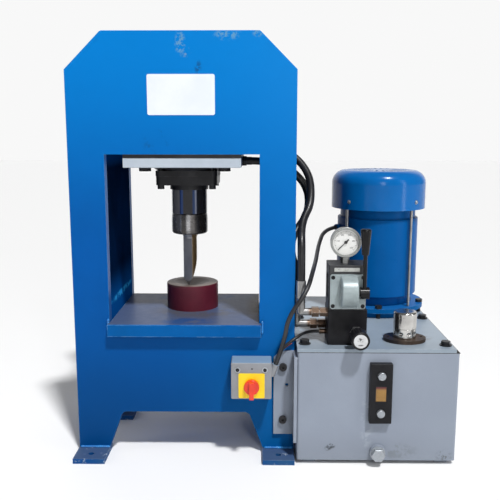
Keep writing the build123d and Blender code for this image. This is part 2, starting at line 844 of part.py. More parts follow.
# Oil tank: a welded box on two feet, open at the top inside a rim
with BuildPart() as tank:
    with BuildSketch(Plane.XY.offset(tank_foot_h)):
        with Locations(((tank_left + tank_right) / 2, (tank_front + tank_rear) / 2)):
            RectangleRounded(tank_w, tank_d, tank_corner_r)
    extrude(amount=tank_top - tank_foot_h)
    block(tank_left + tank_wall, tank_right - tank_wall, tank_front + tank_wall, tank_rear - tank_wall,
          tank_foot_h + tank_wall, tank_top - tank_wall, mode=Mode.SUBTRACT)
    block(tank_left + rim_w, tank_right - rim_w, tank_front + rim_w, tank_rear - rim_w,
          tank_top - tank_wall, tank_top, mode=Mode.SUBTRACT)
    block(tank_left + foot_bar_in, tank_left + foot_bar_in + foot_bar_w, tank_front + foot_bar_in,
          tank_rear - foot_bar_in, 0, tank_foot_h)
    block(tank_right - foot_bar_in - foot_bar_w, tank_right - foot_bar_in, tank_front + foot_bar_in,
          tank_rear - foot_bar_in, 0, tank_foot_h)
    rod_y(drain_x, drain_z, drain_boss_r, tank_front - drain_boss_l, tank_front + 1)
    rod_y(drain_x, drain_z, drain_r, tank_front - drain_boss_l, tank_front + tank_wall, mode=Mode.SUBTRACT)
    for bolt_z in (gauge_bolt_low, gauge_bolt_high):
        rod_y(level_x, bolt_z, level_screw_r + bolt_fit, tank_front, tank_front + tank_wall,
              mode=Mode.SUBTRACT)
    for bolt_x, bolt_y in lid_bolts:
        rod_z(bolt_x, bolt_y, lid_screw_r + bolt_fit, tank_top - tank_wall, tank_top, mode=Mode.SUBTRACT)
save(tank.part, "tank")

with BuildPart() as lid_gasket:
    block(tank_left, tank_right, tank_front, tank_rear, tank_top, tank_top + gasket_t)
    block(tank_left + rim_w, tank_right - rim_w, tank_front + rim_w, tank_rear - rim_w,
          tank_top, tank_top + gasket_t, mode=Mode.SUBTRACT)
    for bolt_x, bolt_y in lid_bolts:
        rod_z(bolt_x, bolt_y, lid_screw_r + bolt_fit, tank_top, tank_top + gasket_t, mode=Mode.SUBTRACT)
save(lid_gasket.part, "lid_gasket")

with BuildPart() as service_lid:
    block(tank_left, tank_right - lid_inset, tank_front, seam_y - seam_gap / 2, tank_top + gasket_t, lid_z)
    for bolt_x, bolt_y in lid_bolts:
        if bolt_y < seam_y:
            rod_z(bolt_x, bolt_y, lid_screw_r + bolt_fit, tank_top + gasket_t, lid_z, mode=Mode.SUBTRACT)
    rod_z(filler_x, filler_y, basket_r + 3, tank_top + gasket_t, lid_z, mode=Mode.SUBTRACT)
save(service_lid.part, "service_lid")

with BuildPart() as motor_plate:
    block(tank_left, tank_right - lid_inset, seam_y + seam_gap / 2, tank_rear, tank_top + gasket_t, lid_z)
    rod_z(motor_x, motor_y, flange_bore_r, tank_top + gasket_t, lid_z, mode=Mode.SUBTRACT)
    for bolt_x, bolt_y in lid_bolts:
        if bolt_y > seam_y:
            rod_z(bolt_x, bolt_y, lid_screw_r + bolt_fit, tank_top + gasket_t, lid_z, mode=Mode.SUBTRACT)
    for bolt_x, bolt_y in flange_bolts:
        rod_z(bolt_x, bolt_y, lid_screw_r + bolt_fit, tank_top + gasket_t, lid_z, mode=Mode.SUBTRACT)
save(motor_plate.part, "motor_plate")

# Angle bracket between the frame's right leg and the tank
with BuildPart() as tank_bracket:
    with BuildSketch(Plane.XZ.offset(half_d)):
        with BuildLine():
            Polyline(
                (bracket_left, bracket_low),
                (bracket_left, bracket_high - bracket_cut),
                (bracket_left + bracket_cut, bracket_high),
                (tank_left, bracket_high),
                (tank_left, bracket_low),
                close=True,
            )
        make_face()
    extrude(amount=bracket_t)
    block(tank_left - bracket_t, tank_left, tank_front, -half_d, bracket_low, bracket_high)
    for hole_z in (bracket_bolt_low, bracket_bolt_high):
        rod_y(bracket_bolt_x, hole_z, bracket_screw_r + bolt_fit, -half_d - bracket_t, -half_d,
              mode=Mode.SUBTRACT)
    rod_y(bracket_bolt_x + 9, (bracket_bolt_low + bracket_bolt_high) / 2 + 20, 4, -half_d - bracket_t,
          -half_d, mode=Mode.SUBTRACT)
save(tank_bracket.part, "tank_bracket")

with BuildPart() as drain_plug:
    rod_y(drain_x, drain_z, drain_r - bolt_fit, tank_front - drain_boss_l, tank_front + tank_wall + 6)
    rod_y(drain_x, drain_z, drain_boss_r - 1.5, tank_front - drain_boss_l - 3, tank_front - drain_boss_l)
    hex_y(drain_x, drain_z, 27, tank_front - drain_boss_l - 14, tank_front - drain_boss_l - 3)
    fillet(drain_plug.faces().sort_by(Axis.Y)[0].edges(), 1.2)
save(drain_plug.part, "drain_plug")

# Oil level gauge with a clear window between two bolts
with BuildPart() as level_gauge:
    with BuildSketch(Plane.XZ.offset(-tank_front)):
        with Locations((level_x, level_mid)):
            RectangleRounded(level_w, level_h, 2)
    extrude(amount=level_t)
    fillet(level_gauge.faces().sort_by(Axis.Y)[0].edges(), 1.2)
    block(level_x - window_w / 2, level_x + window_w / 2, tank_front - level_t, tank_front - 4,
          level_mid - window_h / 2, level_mid + window_h / 2, mode=Mode.SUBTRACT)
    for bolt_z in (gauge_bolt_low, gauge_bolt_high):
        rod_y(level_x, bolt_z, level_screw_r + bolt_fit, tank_front - level_t, tank_front,
              mode=Mode.SUBTRACT)
save(level_gauge.part, "level_gauge")

with BuildPart() as gauge_window:
    block(level_x - window_w / 2 + 0.2, level_x + window_w / 2 - 0.2, tank_front - level_t + 1,
          tank_front - 4, level_mid - window_h / 2 + 0.2, level_mid + window_h / 2 - 0.2)
save(gauge_window.part, "gauge_window")

with BuildPart() as gauge_bolts:
    for bolt_z in (gauge_bolt_low, gauge_bolt_high):
        rod_y(level_x, bolt_z, level_screw_r, tank_front - level_t, tank_front + tank_wall + 4)
        rod_y(level_x, bolt_z, level_head_r, tank_front - level_t - 7, tank_front - level_t)
    fillet(gauge_bolts.faces().sort_by(Axis.Y)[0:2].edges(), 2)
save(gauge_bolts.part, "gauge_bolts")

# Filler neck with an oval flange, and the breather cap that lifts out of it
with BuildPart() as filler_flange:
    with BuildSketch(Plane.XY.offset(lid_z)):
        with Locations((filler_x, filler_y)):
            Ellipse(filler_w / 2, filler_d / 2)
    extrude(amount=filler_t)
    rod_z(filler_x, filler_y, neck_r, lid_z + filler_t, lid_z + neck_h)
    rod_z(filler_x, filler_y, basket_r + 1.5, lid_z, lid_z + neck_h, mode=Mode.SUBTRACT)
    for side in (-1, 1):
        rod_z(filler_x + side * (filler_w / 2 - 10), filler_y, 3, lid_z, lid_z + filler_t,
              mode=Mode.SUBTRACT)
save(filler_flange.part, "filler_flange")

with BuildPart() as breather_cap:
    rod_z(filler_x, filler_y, cap_r, lid_z + neck_h, lid_z + neck_h + cap_h)
    fillet(breather_cap.faces().sort_by(Axis.Z)[-1].edges(), 5)
    rod_z(filler_x, filler_y, basket_r, lid_z - basket_h, lid_z + neck_h)
    rod_z(filler_x, filler_y, basket_r - 2, lid_z - basket_h + 2, lid_z + neck_h, mode=Mode.SUBTRACT)
save(breather_cap.part, "breather_cap")

# Pump side under the lid: bell housing, coupling and gear pump with its strainer
with BuildPart() as bell_housing:
    rod_z(motor_x, motor_y, bell_r + bell_rim, lid_z - lid_t - bell_wall, lid_z - lid_t)
    rod_z(motor_x, motor_y, bell_r, bell_bottom, lid_z - lid_t - bell_wall)
    rod_z(motor_x, motor_y, bell_r - bell_wall, bell_bottom + bell_wall, lid_z - lid_t, mode=Mode.SUBTRACT)
    rod_z(motor_x, motor_y, 1.75 * pump_shaft_r, bell_bottom, bell_bottom + bell_wall, mode=Mode.SUBTRACT)
    for turn in (0, 180):
        with Locations(Location((motor_x, motor_y, (bell_bottom + lid_z) / 2), (0, 0, turn))):
            with Locations((bell_r, 0, 0)):
                Box(bell_window_t, bell_window_w, bell_window_h, mode=Mode.SUBTRACT)
save(bell_housing.part, "bell_housing")

with BuildPart() as gear_pump:
    block(motor_x - pump_half_w, motor_x + pump_half_w, motor_y - pump_half_d, motor_y + pump_half_d,
          pump_bottom, bell_bottom)
    fillet(gear_pump.edges().filter_by(Axis.Z), pump_round)
    rod_z(motor_x, motor_y, pump_shaft_r, bell_bottom, bell_bottom + pump_shaft_l)
    rod_z(motor_x - strainer_off, motor_y, strainer_pipe_r, strainer_top, pump_bottom)
    rod_z(motor_x - strainer_off, motor_y, strainer_r, strainer_top - strainer_l, strainer_top)
save(gear_pump.part, "gear_pump")

with BuildPart() as coupling:
    rod_z(motor_x, motor_y, coupling_r, bell_bottom + coupling_lift, coupling_top)
    rod_z(motor_x, motor_y, pump_shaft_r + running_fit, bell_bottom + coupling_lift,
          bell_bottom + pump_shaft_l + 1, mode=Mode.SUBTRACT)
    rod_z(motor_x, motor_y, shaft_r + running_fit, coupling_top - shaft_hold - 1, coupling_top,
          mode=Mode.SUBTRACT)
save(coupling.part, "coupling")

# Motor: flange, body with end shields, rotor, fan and cowl
with BuildPart() as motor_flange:
    rod_z(motor_x, motor_y, flange_foot_r, lid_z, lid_z + flange_foot_h)
    rod_z(motor_x, motor_y, flange_disc_r, lid_z + flange_foot_h, flange_top)
    rod_z(motor_x, motor_y, flange_bore_r, lid_z, flange_top, mode=Mode.SUBTRACT)
    for bolt_x, bolt_y in flange_bolts:
        rod_z(bolt_x, bolt_y, lid_screw_r + bolt_fit, lid_z, flange_top, mode=Mode.SUBTRACT)
    for rod_px, rod_py in rod_places:
        rod_z(rod_px, rod_py, rod_r + bolt_fit, flange_top - 8, flange_top, mode=Mode.SUBTRACT)
save(motor_flange.part, "motor_flange")

with BuildPart() as motor_body:
    rod_z(motor_x, motor_y, end_bell_r, flange_top, body_z0)
    rod_z(motor_x, motor_y, body_r, body_z0, body_z1)
    rod_z(motor_x, motor_y, shield_r, body_z1, body_z1 + shield_t)
    fillet(motor_body.edges().filter_by(GeomType.CIRCLE).filter_by(
        lambda e: abs(e.radius - body_r) < 0.01), 3)
    # Arms that carry the cowl and the upper ends of the tie rods
    for rod_turn in rod_turns:
        with Locations(Location((motor_x, motor_y, arm_z + arm_t / 2), (0, 0, rod_turn))):
            with Locations((lug_r / 2, 0, 0)):
                Box(lug_r, 22, arm_t)
            with Locations((lug_r - 4, 0, (cowl_lug_h + arm_t) / 2)):
                Box(8, 22, cowl_lug_h)
    with BuildSketch(Plane.XY.offset(arm_z)):
        with Locations((motor_x, motor_y)):
            Circle(cowl_r + 20)
            Circle(lug_r, mode=Mode.SUBTRACT)
    extrude(amount=arm_t + cowl_lug_h, mode=Mode.SUBTRACT)
    for rod_px, rod_py in rod_places:
        rod_z(rod_px, rod_py, rod_r + bolt_fit, arm_z, arm_z + arm_t, mode=Mode.SUBTRACT)
    # Room for the rotor between the bearings
    rod_z(motor_x, motor_y, rotor_r + 0.5, body_z0 + 8, arm_z - 4, mode=Mode.SUBTRACT)
    rod_z(motor_x, motor_y, shaft_r + running_fit, flange_top, body_z1 + shield_t, mode=Mode.SUBTRACT)
    # Cable boss on the body's left side
    with Locations(Plane(origin=cable_boss, z_dir=boss_dir).location):
        Cylinder(cable_r + 3, 2 * boss_out, align=(Align.CENTER, Align.CENTER, Align.MAX))
save(motor_body.part, "motor_body")

with BuildPart() as rotor:
    rod_z(motor_x, motor_y, shaft_r, coupling_top - shaft_hold, fan_z + fan_hub_h + shaft_over_fan)
    rod_z(motor_x, motor_y, rotor_r, body_z0 + 20, body_z1 - 14)
save(rotor.part, "rotor")

with BuildPart() as cooling_fan:
    rod_z(motor_x, motor_y, shaft_r + fan_hub_t, fan_z, fan_z + fan_hub_h)
    rod_z(motor_x, motor_y, fan_r, fan_z, fan_z + fan_disc_t)
    for blade in range(fan_blades):
        with Locations(Location((motor_x, motor_y, fan_z + fan_disc_t), (0, 0, blade * 360 / fan_blades))):
            with Locations(((fan_r + shaft_r + fan_tip) / 2, 0, fan_blade_h / 2)):
                Box(fan_r - shaft_r - fan_tip, fan_blade_t, fan_blade_h, mode=Mode.ADD)
    rod_z(motor_x, motor_y, shaft_r + running_fit, fan_z, fan_z + fan_disc_t + fan_blade_h,
          mode=Mode.SUBTRACT)
save(cooling_fan.part, "cooling_fan")

with BuildPart() as fan_cowl:
    rod_z(motor_x, motor_y, cowl_r, cowl_z0, cowl_z1)
    fillet(fan_cowl.faces().sort_by(Axis.Z)[-1].edges(), cowl_round)
    offset(amount=-cowl_wall, openings=fan_cowl.faces().sort_by(Axis.Z)[0])
    for slot in range(grille_slots):
        with Locations(Location((motor_x, motor_y, cowl_z1), (0, 0, slot * 360 / grille_slots))):
            with Locations(((grille_in + grille_out) / 2, 0, 0)):
                Box(grille_out - grille_in, 5, 3 * cowl_wall, mode=Mode.SUBTRACT)
save(fan_cowl.part, "fan_cowl")

with BuildPart() as tie_rods:
    for rod_px, rod_py in rod_places:
        rod_z(rod_px, rod_py, rod_r, flange_top - 7, arm_z + arm_t)
        hex_z(rod_px, rod_py, 9, arm_z - 6, arm_z)
save(tie_rods.part, "tie_rods")

# Valve stack: manifold, valve body, lever housing, spool, relief valve and pressure gauge
with BuildPart() as manifold:
    block(stack_left, stack_left + manifold_w, stack_front, stack_front + manifold_d, lid_z, manifold_top)
    chamfer(manifold.edges().filter_by(Axis.Z), 1.5)
    rod_y(relief_x, relief_z, relief_thread_r + bolt_fit, stack_front, stack_front + 24, mode=Mode.SUBTRACT)
save(manifold.part, "manifold")

with BuildPart() as valve_body:
    block(stack_left, stack_left + valve_w, valve_front, valve_front + valve_d,
          manifold_top, valve_top)
    fillet(valve_body.edges().filter_by(Axis.Z), 4)
    # Side recess of the casting
    for side_x in (stack_left, stack_left + valve_w):
        block(side_x - 3, side_x + 3, stack_front + 20, stack_front + valve_d - 14, manifold_top + 22,
              valve_top - 24, mode=Mode.SUBTRACT)
    rod_y(spool_x, spool_z, spool_r + running_fit, valve_front, valve_front + spool_bore_l,
          mode=Mode.SUBTRACT)
    for bolt_x, bolt_z in housing_screws:
        rod_y(bolt_x, bolt_z, housing_screw_r + bolt_fit, valve_front, valve_front + 12, mode=Mode.SUBTRACT)
    rod_z(gauge_x, gauge_y, stem_thread_r + bolt_fit, valve_top - 10, valve_top, mode=Mode.SUBTRACT)
save(valve_body.part, "valve_body")

with BuildPart() as lever_housing:
    with BuildSketch(Plane.XZ.offset(-valve_front)):
        with Locations((stack_left + valve_w / 2, housing_mid)):
            RectangleRounded(housing_w, housing_high - housing_low, 6)
    extrude(amount=housing_t)
    # Half barrel over the lever's inner arm, lying across the plate
    rod_x(boss_y, lever_z, boss_r, spool_x - boss_half_w, spool_x + boss_half_w)
    fillet(lever_housing.edges().filter_by(GeomType.CIRCLE).filter_by(
        lambda e: abs(e.radius - boss_r) < 0.01), 3)
    block(stack_left - 1, stack_left + valve_w + 1, valve_front, valve_front + 2 * boss_r,
          lever_z - 2 * boss_r, lever_z + 2 * boss_r, mode=Mode.SUBTRACT)
    # Room for the lever's inner arm and the spool's end
    block(spool_x - arm_room, spool_x + arm_room, lever_y - 10, valve_front,
          spool_z - spool_r - 1.5, lever_z + 9, mode=Mode.SUBTRACT)
    rod_x(lever_y, lever_z, lever_shaft_r + running_fit, spool_x - arm_room, spool_x + boss_half_w + 1,
          mode=Mode.SUBTRACT)
    for bolt_x, bolt_z in housing_screws:
        rod_y(bolt_x, bolt_z, housing_screw_r + bolt_fit, valve_front - housing_t, valve_front,
              mode=Mode.SUBTRACT)
        rod_y(bolt_x, bolt_z, 4.8, valve_front - housing_t, valve_front - housing_t + 5, mode=Mode.SUBTRACT)
save(lever_housing.part, "lever_housing")

with BuildPart() as lever_rod:
    rod_x(lever_y, lever_z, lever_shaft_r, spool_x - arm_room + 1, hub_x + hub_w)
    rod_x(lever_y, lever_z, hub_r, hub_x, hub_x + hub_w)
    rod_z(hub_x + hub_w / 2, lever_y, lever_rod_r, lever_z, grip_low + grip_hold)
    # Inner arm with a ball-like end in the spool's slot
    block(spool_x - 3, spool_x + 3, lever_y - 1.2, lever_y + 1.2, spool_z, lever_z)
    rod_x(lever_y, spool_z, 3, spool_x - 3, spool_x + 3)
save(lever_rod.part, "lever_rod")

with BuildPart() as lever_grip:
    with BuildSketch(Plane.XY.offset(grip_low)):
        with Locations((hub_x + hub_w / 2, lever_y)):
            Circle(grip_low_r)
    with BuildSketch(Plane.XY.offset(grip_top)):
        with Locations((hub_x + hub_w / 2, lever_y)):
            Circle(grip_top_r)
    loft()
    fillet(lever_grip.faces().sort_by(Axis.Z)[-1].edges(), 5)
    rod_z(hub_x + hub_w / 2, lever_y, lever_rod_r + running_fit, grip_low, grip_low + grip_hold,
          mode=Mode.SUBTRACT)
save(lever_grip.part, "lever_grip")

with BuildPart() as spool:
    rod_y(spool_x, spool_z, spool_r, lever_y - 5, valve_front + spool_bore_l - spool_play)
    block(spool_x - spool_r, spool_x + spool_r, lever_y - 3.6, lever_y + 3.6, spool_z - 3.6,
          spool_z + spool_r, mode=Mode.SUBTRACT)
save(spool.part, "spool")

with BuildPart() as relief_valve:
    rod_y(relief_x, relief_z, relief_thread_r, stack_front, stack_front + 23)
    hex_y(relief_x, relief_z, 26, stack_front - 14, stack_front)
    rod_y(relief_x, relief_z, relief_stem_r, relief_front + 8, stack_front - 14)
save(relief_valve.part, "relief_valve")

with BuildPart() as relief_knob:
    rod_y(relief_x, relief_z, relief_knob_r, relief_front, relief_front + relief_knob_l)
    fillet(relief_knob.faces().sort_by(Axis.Y)[0].edges(), 2.5)
    rod_y(relief_x, relief_z, relief_stem_r + running_fit, relief_front + 6, relief_front + relief_knob_l,
          mode=Mode.SUBTRACT)
    # Finger grooves around the rim
    for flute in range(12):
        at = math.radians(flute * 30)
        rod_y(relief_x + (relief_knob_r + 1.2) * math.cos(at), relief_z + (relief_knob_r + 1.2) * math.sin(at),
              2.6, relief_front + 3, relief_front + relief_knob_l, mode=Mode.SUBTRACT)
save(relief_knob.part, "relief_knob")

with BuildPart() as gauge_case:
    rod_z(gauge_x, gauge_y, stem_thread_r, valve_top - 9, valve_top)
    hex_z(gauge_x, gauge_y, 17, valve_top, valve_top + 13)
    rod_z(gauge_x, gauge_y, 6, valve_top + 13, gauge_z - gauge_r + 6)
    rod_y(gauge_x, gauge_z, gauge_r - 2, gauge_front + 5, gauge_front + gauge_l)
    rod_y(gauge_x, gauge_z, gauge_r, gauge_front, gauge_front + 7)
    fillet(gauge_case.faces().sort_by(Axis.Y)[0].edges(), 1.5)
    rod_y(gauge_x, gauge_z, gauge_dial_r, gauge_front, gauge_front + 6, mode=Mode.SUBTRACT)
    rod_y(gauge_x, gauge_z, 1.5 + running_fit, gauge_front, gauge_front + 12, mode=Mode.SUBTRACT)
save(gauge_case.part, "gauge_case")

# Pointer of the gauge, resting on zero at the lower left
with BuildPart() as gauge_pointer:
    rod_y(gauge_x, gauge_z, 1.5, gauge_front + 2.5, gauge_front + 11)
    rod_y(gauge_x, gauge_z, 3.5, gauge_front + 3, gauge_front + 4.5)
    with Locations(Location((gauge_x, gauge_front + 3.75, gauge_z), (0, -45, 0))):
        with Locations(((-gauge_dial_r + 5) / 2, 0, 0)):
            Box(gauge_dial_r - 5, 1, 1.6)
        with Locations((5, 0, 0)):
            Box(8, 1, 3)
save(gauge_pointer.part, "gauge_pointer")

# Switch box on the front of the right leg, with two slanted cable glands
with BuildPart() as switch_box:
    block(box_x - box_w / 2, box_x + box_w / 2, -half_d - box_d, -half_d, box_z - box_h / 2, box_z + box_h / 2)
    fillet(switch_box.edges().filter_by(Axis.Y), 3)
    fillet(switch_box.faces().sort_by(Axis.Y)[0].edges(), 2)
    block(box_x - box_w / 2 + box_wall, box_x + box_w / 2 - box_wall, -half_d - box_d + box_wall,
          -half_d - box_wall, box_z - box_h / 2 + box_wall, box_z + box_h / 2 - box_wall, mode=Mode.SUBTRACT)
    rod_y(knob_x, knob_z, spindle_r + running_fit, -half_d - box_d, -half_d - box_d + box_wall,
          mode=Mode.SUBTRACT)
    for start, gland_r in ((motor_gland, cable_r + 2.5), (control_gland, control_r + 2.5)):
        with Locations(Location(start, (0, gland_lean, 0))):
            Cylinder(gland_r, gland_l, align=(Align.CENTER, Align.CENTER, Align.MAX))
    block(box_x - box_w / 2 + box_wall, box_x + box_w / 2 - box_wall, -half_d - box_d + box_wall,
          -half_d - box_wall, box_z - box_h / 2 + box_wall, box_z + box_h / 2 - box_wall, mode=Mode.SUBTRACT)
save(switch_box.part, "switch_box")

with BuildPart() as switch_plate:
    with BuildSketch(Plane.XZ.offset(half_d + box_d)):
        with Locations((knob_x, plate_mid_z)):
            RectangleRounded(switch_plate_w, switch_plate_h, 3)
    extrude(amount=switch_plate_t)
    rod_y(knob_x, knob_z, spindle_r + 0.3, -half_d - box_d - switch_plate_t, -half_d - box_d,
          mode=Mode.SUBTRACT)
save(switch_plate.part, "switch_plate")

with BuildPart() as switch_knob:
    rod_y(knob_x, knob_z, knob_r, knob_back - 9, knob_back)
    fillet(switch_knob.faces().sort_by(Axis.Y)[0].edges(), 1.5)
    block(knob_x - 5, knob_x + 5, knob_back - 20, knob_back - 9, knob_z - knob_grip, knob_z + knob_r - 2)
    rod_y(knob_x, knob_z, spindle_r, knob_back, -half_d - box_d + box_wall + 8)
save(switch_knob.part, "switch_knob")

# Motor cable and control cable, hanging free between their two ends
motor_cable_points = [
    cable_boss,
    tuple(at + boss_lead * part for at, part in zip(cable_boss, boss_dir)),
    (318, 40, 462),
    (305, -45, 438),
    (293, -120, 430),
    (275, -190, 395),
    (233, -197, 338),
    (motor_gland[0] + motor_lead * math.sin(lean), motor_gland[1], motor_gland[2] + motor_lead * math.cos(lean)),
    motor_gland,
]
motor_cable_radii = bend_radii(motor_cable_points)
with BuildPart() as motor_cable:
    with BuildLine() as motor_cable_path:
        FilletPolyline(*motor_cable_points, radius=motor_cable_radii)
    with BuildSketch(Plane(origin=motor_cable_path.line @ 0, z_dir=motor_cable_path.line % 0)):
        Circle(cable_r)
    sweep(path=motor_cable_path.line)
report_cord("motor_cable", motor_cable_path.line, motor_cable_radii, cable_r, motor_cable.part)
save(motor_cable.part, "motor_cable")

control_cable_points = [
    (stack_left - control_outlet, control_y, control_z),
    (stack_left - control_outlet - 28, control_y, control_z),
    (250, -168, 281),
    (control_gland[0] + control_lead * math.sin(lean), control_gland[1],
     control_gland[2] + control_lead * math.cos(lean)),
    control_gland,
]
control_cable_radii = bend_radii(control_cable_points)
with BuildPart() as control_cable:
    with BuildLine() as control_cable_path:
        FilletPolyline(*control_cable_points, radius=control_cable_radii)
    with BuildSketch(Plane(origin=control_cable_path.line @ 0, z_dir=control_cable_path.line % 0)):
        Circle(control_r)
    sweep(path=control_cable_path.line)
report_cord("control_cable", control_cable_path.line, control_cable_radii, control_r, control_cable.part)
save(control_cable.part, "control_cable")
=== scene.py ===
import math
import bmesh
import bpy
from mathutils import Vector, Matrix


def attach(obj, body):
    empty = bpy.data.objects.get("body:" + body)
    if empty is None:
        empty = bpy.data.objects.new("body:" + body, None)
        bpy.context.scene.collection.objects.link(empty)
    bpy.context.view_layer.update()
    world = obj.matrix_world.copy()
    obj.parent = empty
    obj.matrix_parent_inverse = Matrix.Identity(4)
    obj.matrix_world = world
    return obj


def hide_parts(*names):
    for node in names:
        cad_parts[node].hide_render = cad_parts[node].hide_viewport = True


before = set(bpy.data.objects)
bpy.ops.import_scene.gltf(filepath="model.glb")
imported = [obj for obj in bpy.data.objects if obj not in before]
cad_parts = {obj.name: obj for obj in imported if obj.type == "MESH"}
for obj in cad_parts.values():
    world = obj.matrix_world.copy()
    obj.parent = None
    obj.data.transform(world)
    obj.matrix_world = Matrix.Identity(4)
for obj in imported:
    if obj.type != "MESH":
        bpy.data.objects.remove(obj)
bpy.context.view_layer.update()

scene = bpy.context.scene
scene.view_settings.view_transform = "Standard"

# Faces and middles of CAD pieces that scene pieces and marks are placed by, in metres
FRONT = -0.154
TANK_FRONT = -0.208
TABLE_TOP = 0.312
BOX_FRONT = -0.2038
KNOB_X, KNOB_FRONT, KNOB_Z = 0.386, -0.2458, 0.298
GAUGE_X, GAUGE_Z = 0.361, 0.4975
DIAL_Y, DIAL_R = -0.1520, 0.029
CAP_X, CAP_Y = 0.502, -0.137
MOTOR_X, MOTOR_Y, COWL_R = 0.485, 0.166, 0.1215

# Camera at the photograph's angle
CAMERA_PLACE = (0.168, -1.636, 0.726)
CAMERA_TURN = (80.57, -0.03, 0.75)
SENSOR_MM, LENS_MM = 36.0, 48.68
CLIP_NEAR, CLIP_FAR = 0.05, 50
cam_data = bpy.data.cameras.new("camera")
cam_data.sensor_width = SENSOR_MM
cam_data.sensor_fit = "HORIZONTAL"
cam_data.lens = LENS_MM
cam_data.clip_start = CLIP_NEAR
cam_data.clip_end = CLIP_FAR
cam = bpy.data.objects.new("camera", cam_data)
scene.collection.objects.link(cam)
cam.location = CAMERA_PLACE
cam.rotation_euler = [math.radians(turn) for turn in CAMERA_TURN]
scene.camera = cam


def add_object(name, data, material=None, body=None):
    """Put mesh or curve data in the scene, with its material and the body it rides on."""
    obj = bpy.data.objects.new(name, data)
    scene.collection.objects.link(obj)
    if material:
        obj.data.materials.append(material)
    if body:
        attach(obj, body)
    return obj


def make_mesh(name, bm, smooth=False):
    """Turn a bmesh into mesh data and free it."""
    mesh = bpy.data.meshes.new(name)
    bm.to_mesh(mesh)
    bm.free()
    if smooth:
        for face in mesh.polygons:
            face.use_smooth = True
    return mesh


# Shader node helpers
def nodes_of(mat):
    """A material's nodes, links and main shader."""
    mat.use_nodes = True
    tree = mat.node_tree
    return tree.nodes, tree.links, tree.nodes["Principled BSDF"]


def noise(nodes, links, coord, scale, detail, rough, stretch=None):
    """Noise between 0 and 1, stretched along an axis where that is asked for."""
    tex = nodes.new("ShaderNodeTexNoise")
    tex.inputs["Scale"].default_value = scale
    tex.inputs["Detail"].default_value = detail
    tex.inputs["Roughness"].default_value = rough
    if stretch:
        mapping = nodes.new("ShaderNodeMapping")
        mapping.inputs["Scale"].default_value = stretch
        links.new(coord, mapping.inputs["Vector"])
        coord = mapping.outputs["Vector"]
    links.new(coord, tex.inputs["Vector"])
    return tex.outputs["Fac"]


def ramp(nodes, links, value, low, high):
    """0 at low and 1 at high, with a smooth step between them."""
    node = nodes.new("ShaderNodeMapRange")
    node.interpolation_type = "SMOOTHSTEP"
    node.inputs["From Min"].default_value = low
    node.inputs["From Max"].default_value = high
    links.new(value, node.inputs["Value"])
    return node.outputs["Result"]


def mix(nodes, links, share, first, second):
    """The first colour where share is 0 and the second where it is 1."""
    node = nodes.new("ShaderNodeMix")
    node.data_type = "RGBA"
    for socket, value in ((node.inputs[6], first), (node.inputs[7], second)):
        if isinstance(value, tuple):
            socket.default_value = (*value, 1)
        else:
            links.new(value, socket)
    links.new(share, node.inputs[0])
    return node.outputs[2]


def mult(nodes, links, first, second):
    """The product of a value and a number or another value."""
    node = nodes.new("ShaderNodeMath")
    node.operation = "MULTIPLY"
    links.new(first, node.inputs[0])
    if isinstance(second, float):
        node.inputs[1].default_value = second
    else:
        links.new(second, node.inputs[1])
    return node.outputs[0]


def vector_step(nodes, links, operation, value, other=None):
    """One vector operation on a value, and on a fixed vector where one is given."""
    node = nodes.new("ShaderNodeVectorMath")
    node.operation = operation
    links.new(value, node.inputs[0])
    if other is not None:
        node.inputs[1].default_value = other
    return node


def axis_part(nodes, links, vector, axis):
    """One part of a vector: X, Y or Z."""
    split = nodes.new("ShaderNodeSeparateXYZ")
    links.new(vector, split.inputs[0])
    return split.outputs[axis]


# How sharp an edge counts as worn, as the cosine between its own and its rounded normal
EDGE_FLAT, EDGE_SHARP = 0.985, 0.75
EDGE_SAMPLES = 4

# Where a mark starts and is full, as a share of its half size
MARK_RIM, MARK_CORE = 1.0, 0.35


def edge_mask(nodes, links, width):
    """1 on edges within width and 0 on flat stretches."""
    bevel = nodes.new("ShaderNodeBevel")
    bevel.samples = EDGE_SAMPLES
    bevel.inputs["Radius"].default_value = width
    geometry = nodes.new("ShaderNodeNewGeometry")
    dot = vector_step(nodes, links, "DOT_PRODUCT", bevel.outputs["Normal"])
    links.new(geometry.outputs["Normal"], dot.inputs[1])
    node = nodes.new("ShaderNodeMapRange")
    node.inputs["From Min"].default_value = EDGE_FLAT
    node.inputs["From Max"].default_value = EDGE_SHARP
    links.new(dot.outputs["Value"], node.inputs["Value"])
    return node.outputs["Result"]


def near(nodes, links, coord, place, size):
    """1 at a place and 0 beyond an ellipsoid of these half sizes around it."""
    shift = vector_step(nodes, links, "SUBTRACT", coord, place)
    scaled = vector_step(nodes, links, "DIVIDE", shift.outputs[0], size)
    length = vector_step(nodes, links, "LENGTH", scaled.outputs[0])
    return ramp(nodes, links, length.outputs["Value"], MARK_RIM, MARK_CORE)


# Detail and roughness of each noise, and where that of patches, marks, spots and wear starts and is full
PATCH_NOISE, TORN_NOISE, WEAR_NOISE = (5, 0.6), (6, 0.7), (5, 0.7)
STREAK_NOISE, GRAIN_NOISE = (5, 0.65), (3, 0.6)
PATCH_RANGE = (0.35, 0.68)
WEAR_RANGE = (0.38, 0.6)
MARK_SOFT, SPOT_SOFT = 0.1, 0.07
WEAR_SCALE = 45.0
ROUGHNESS_PER_PATCH = 6
SMOOTHEST = 0.03
BUMP_DEPTH = 0.0006
COAT_ROUGHNESS = 0.12


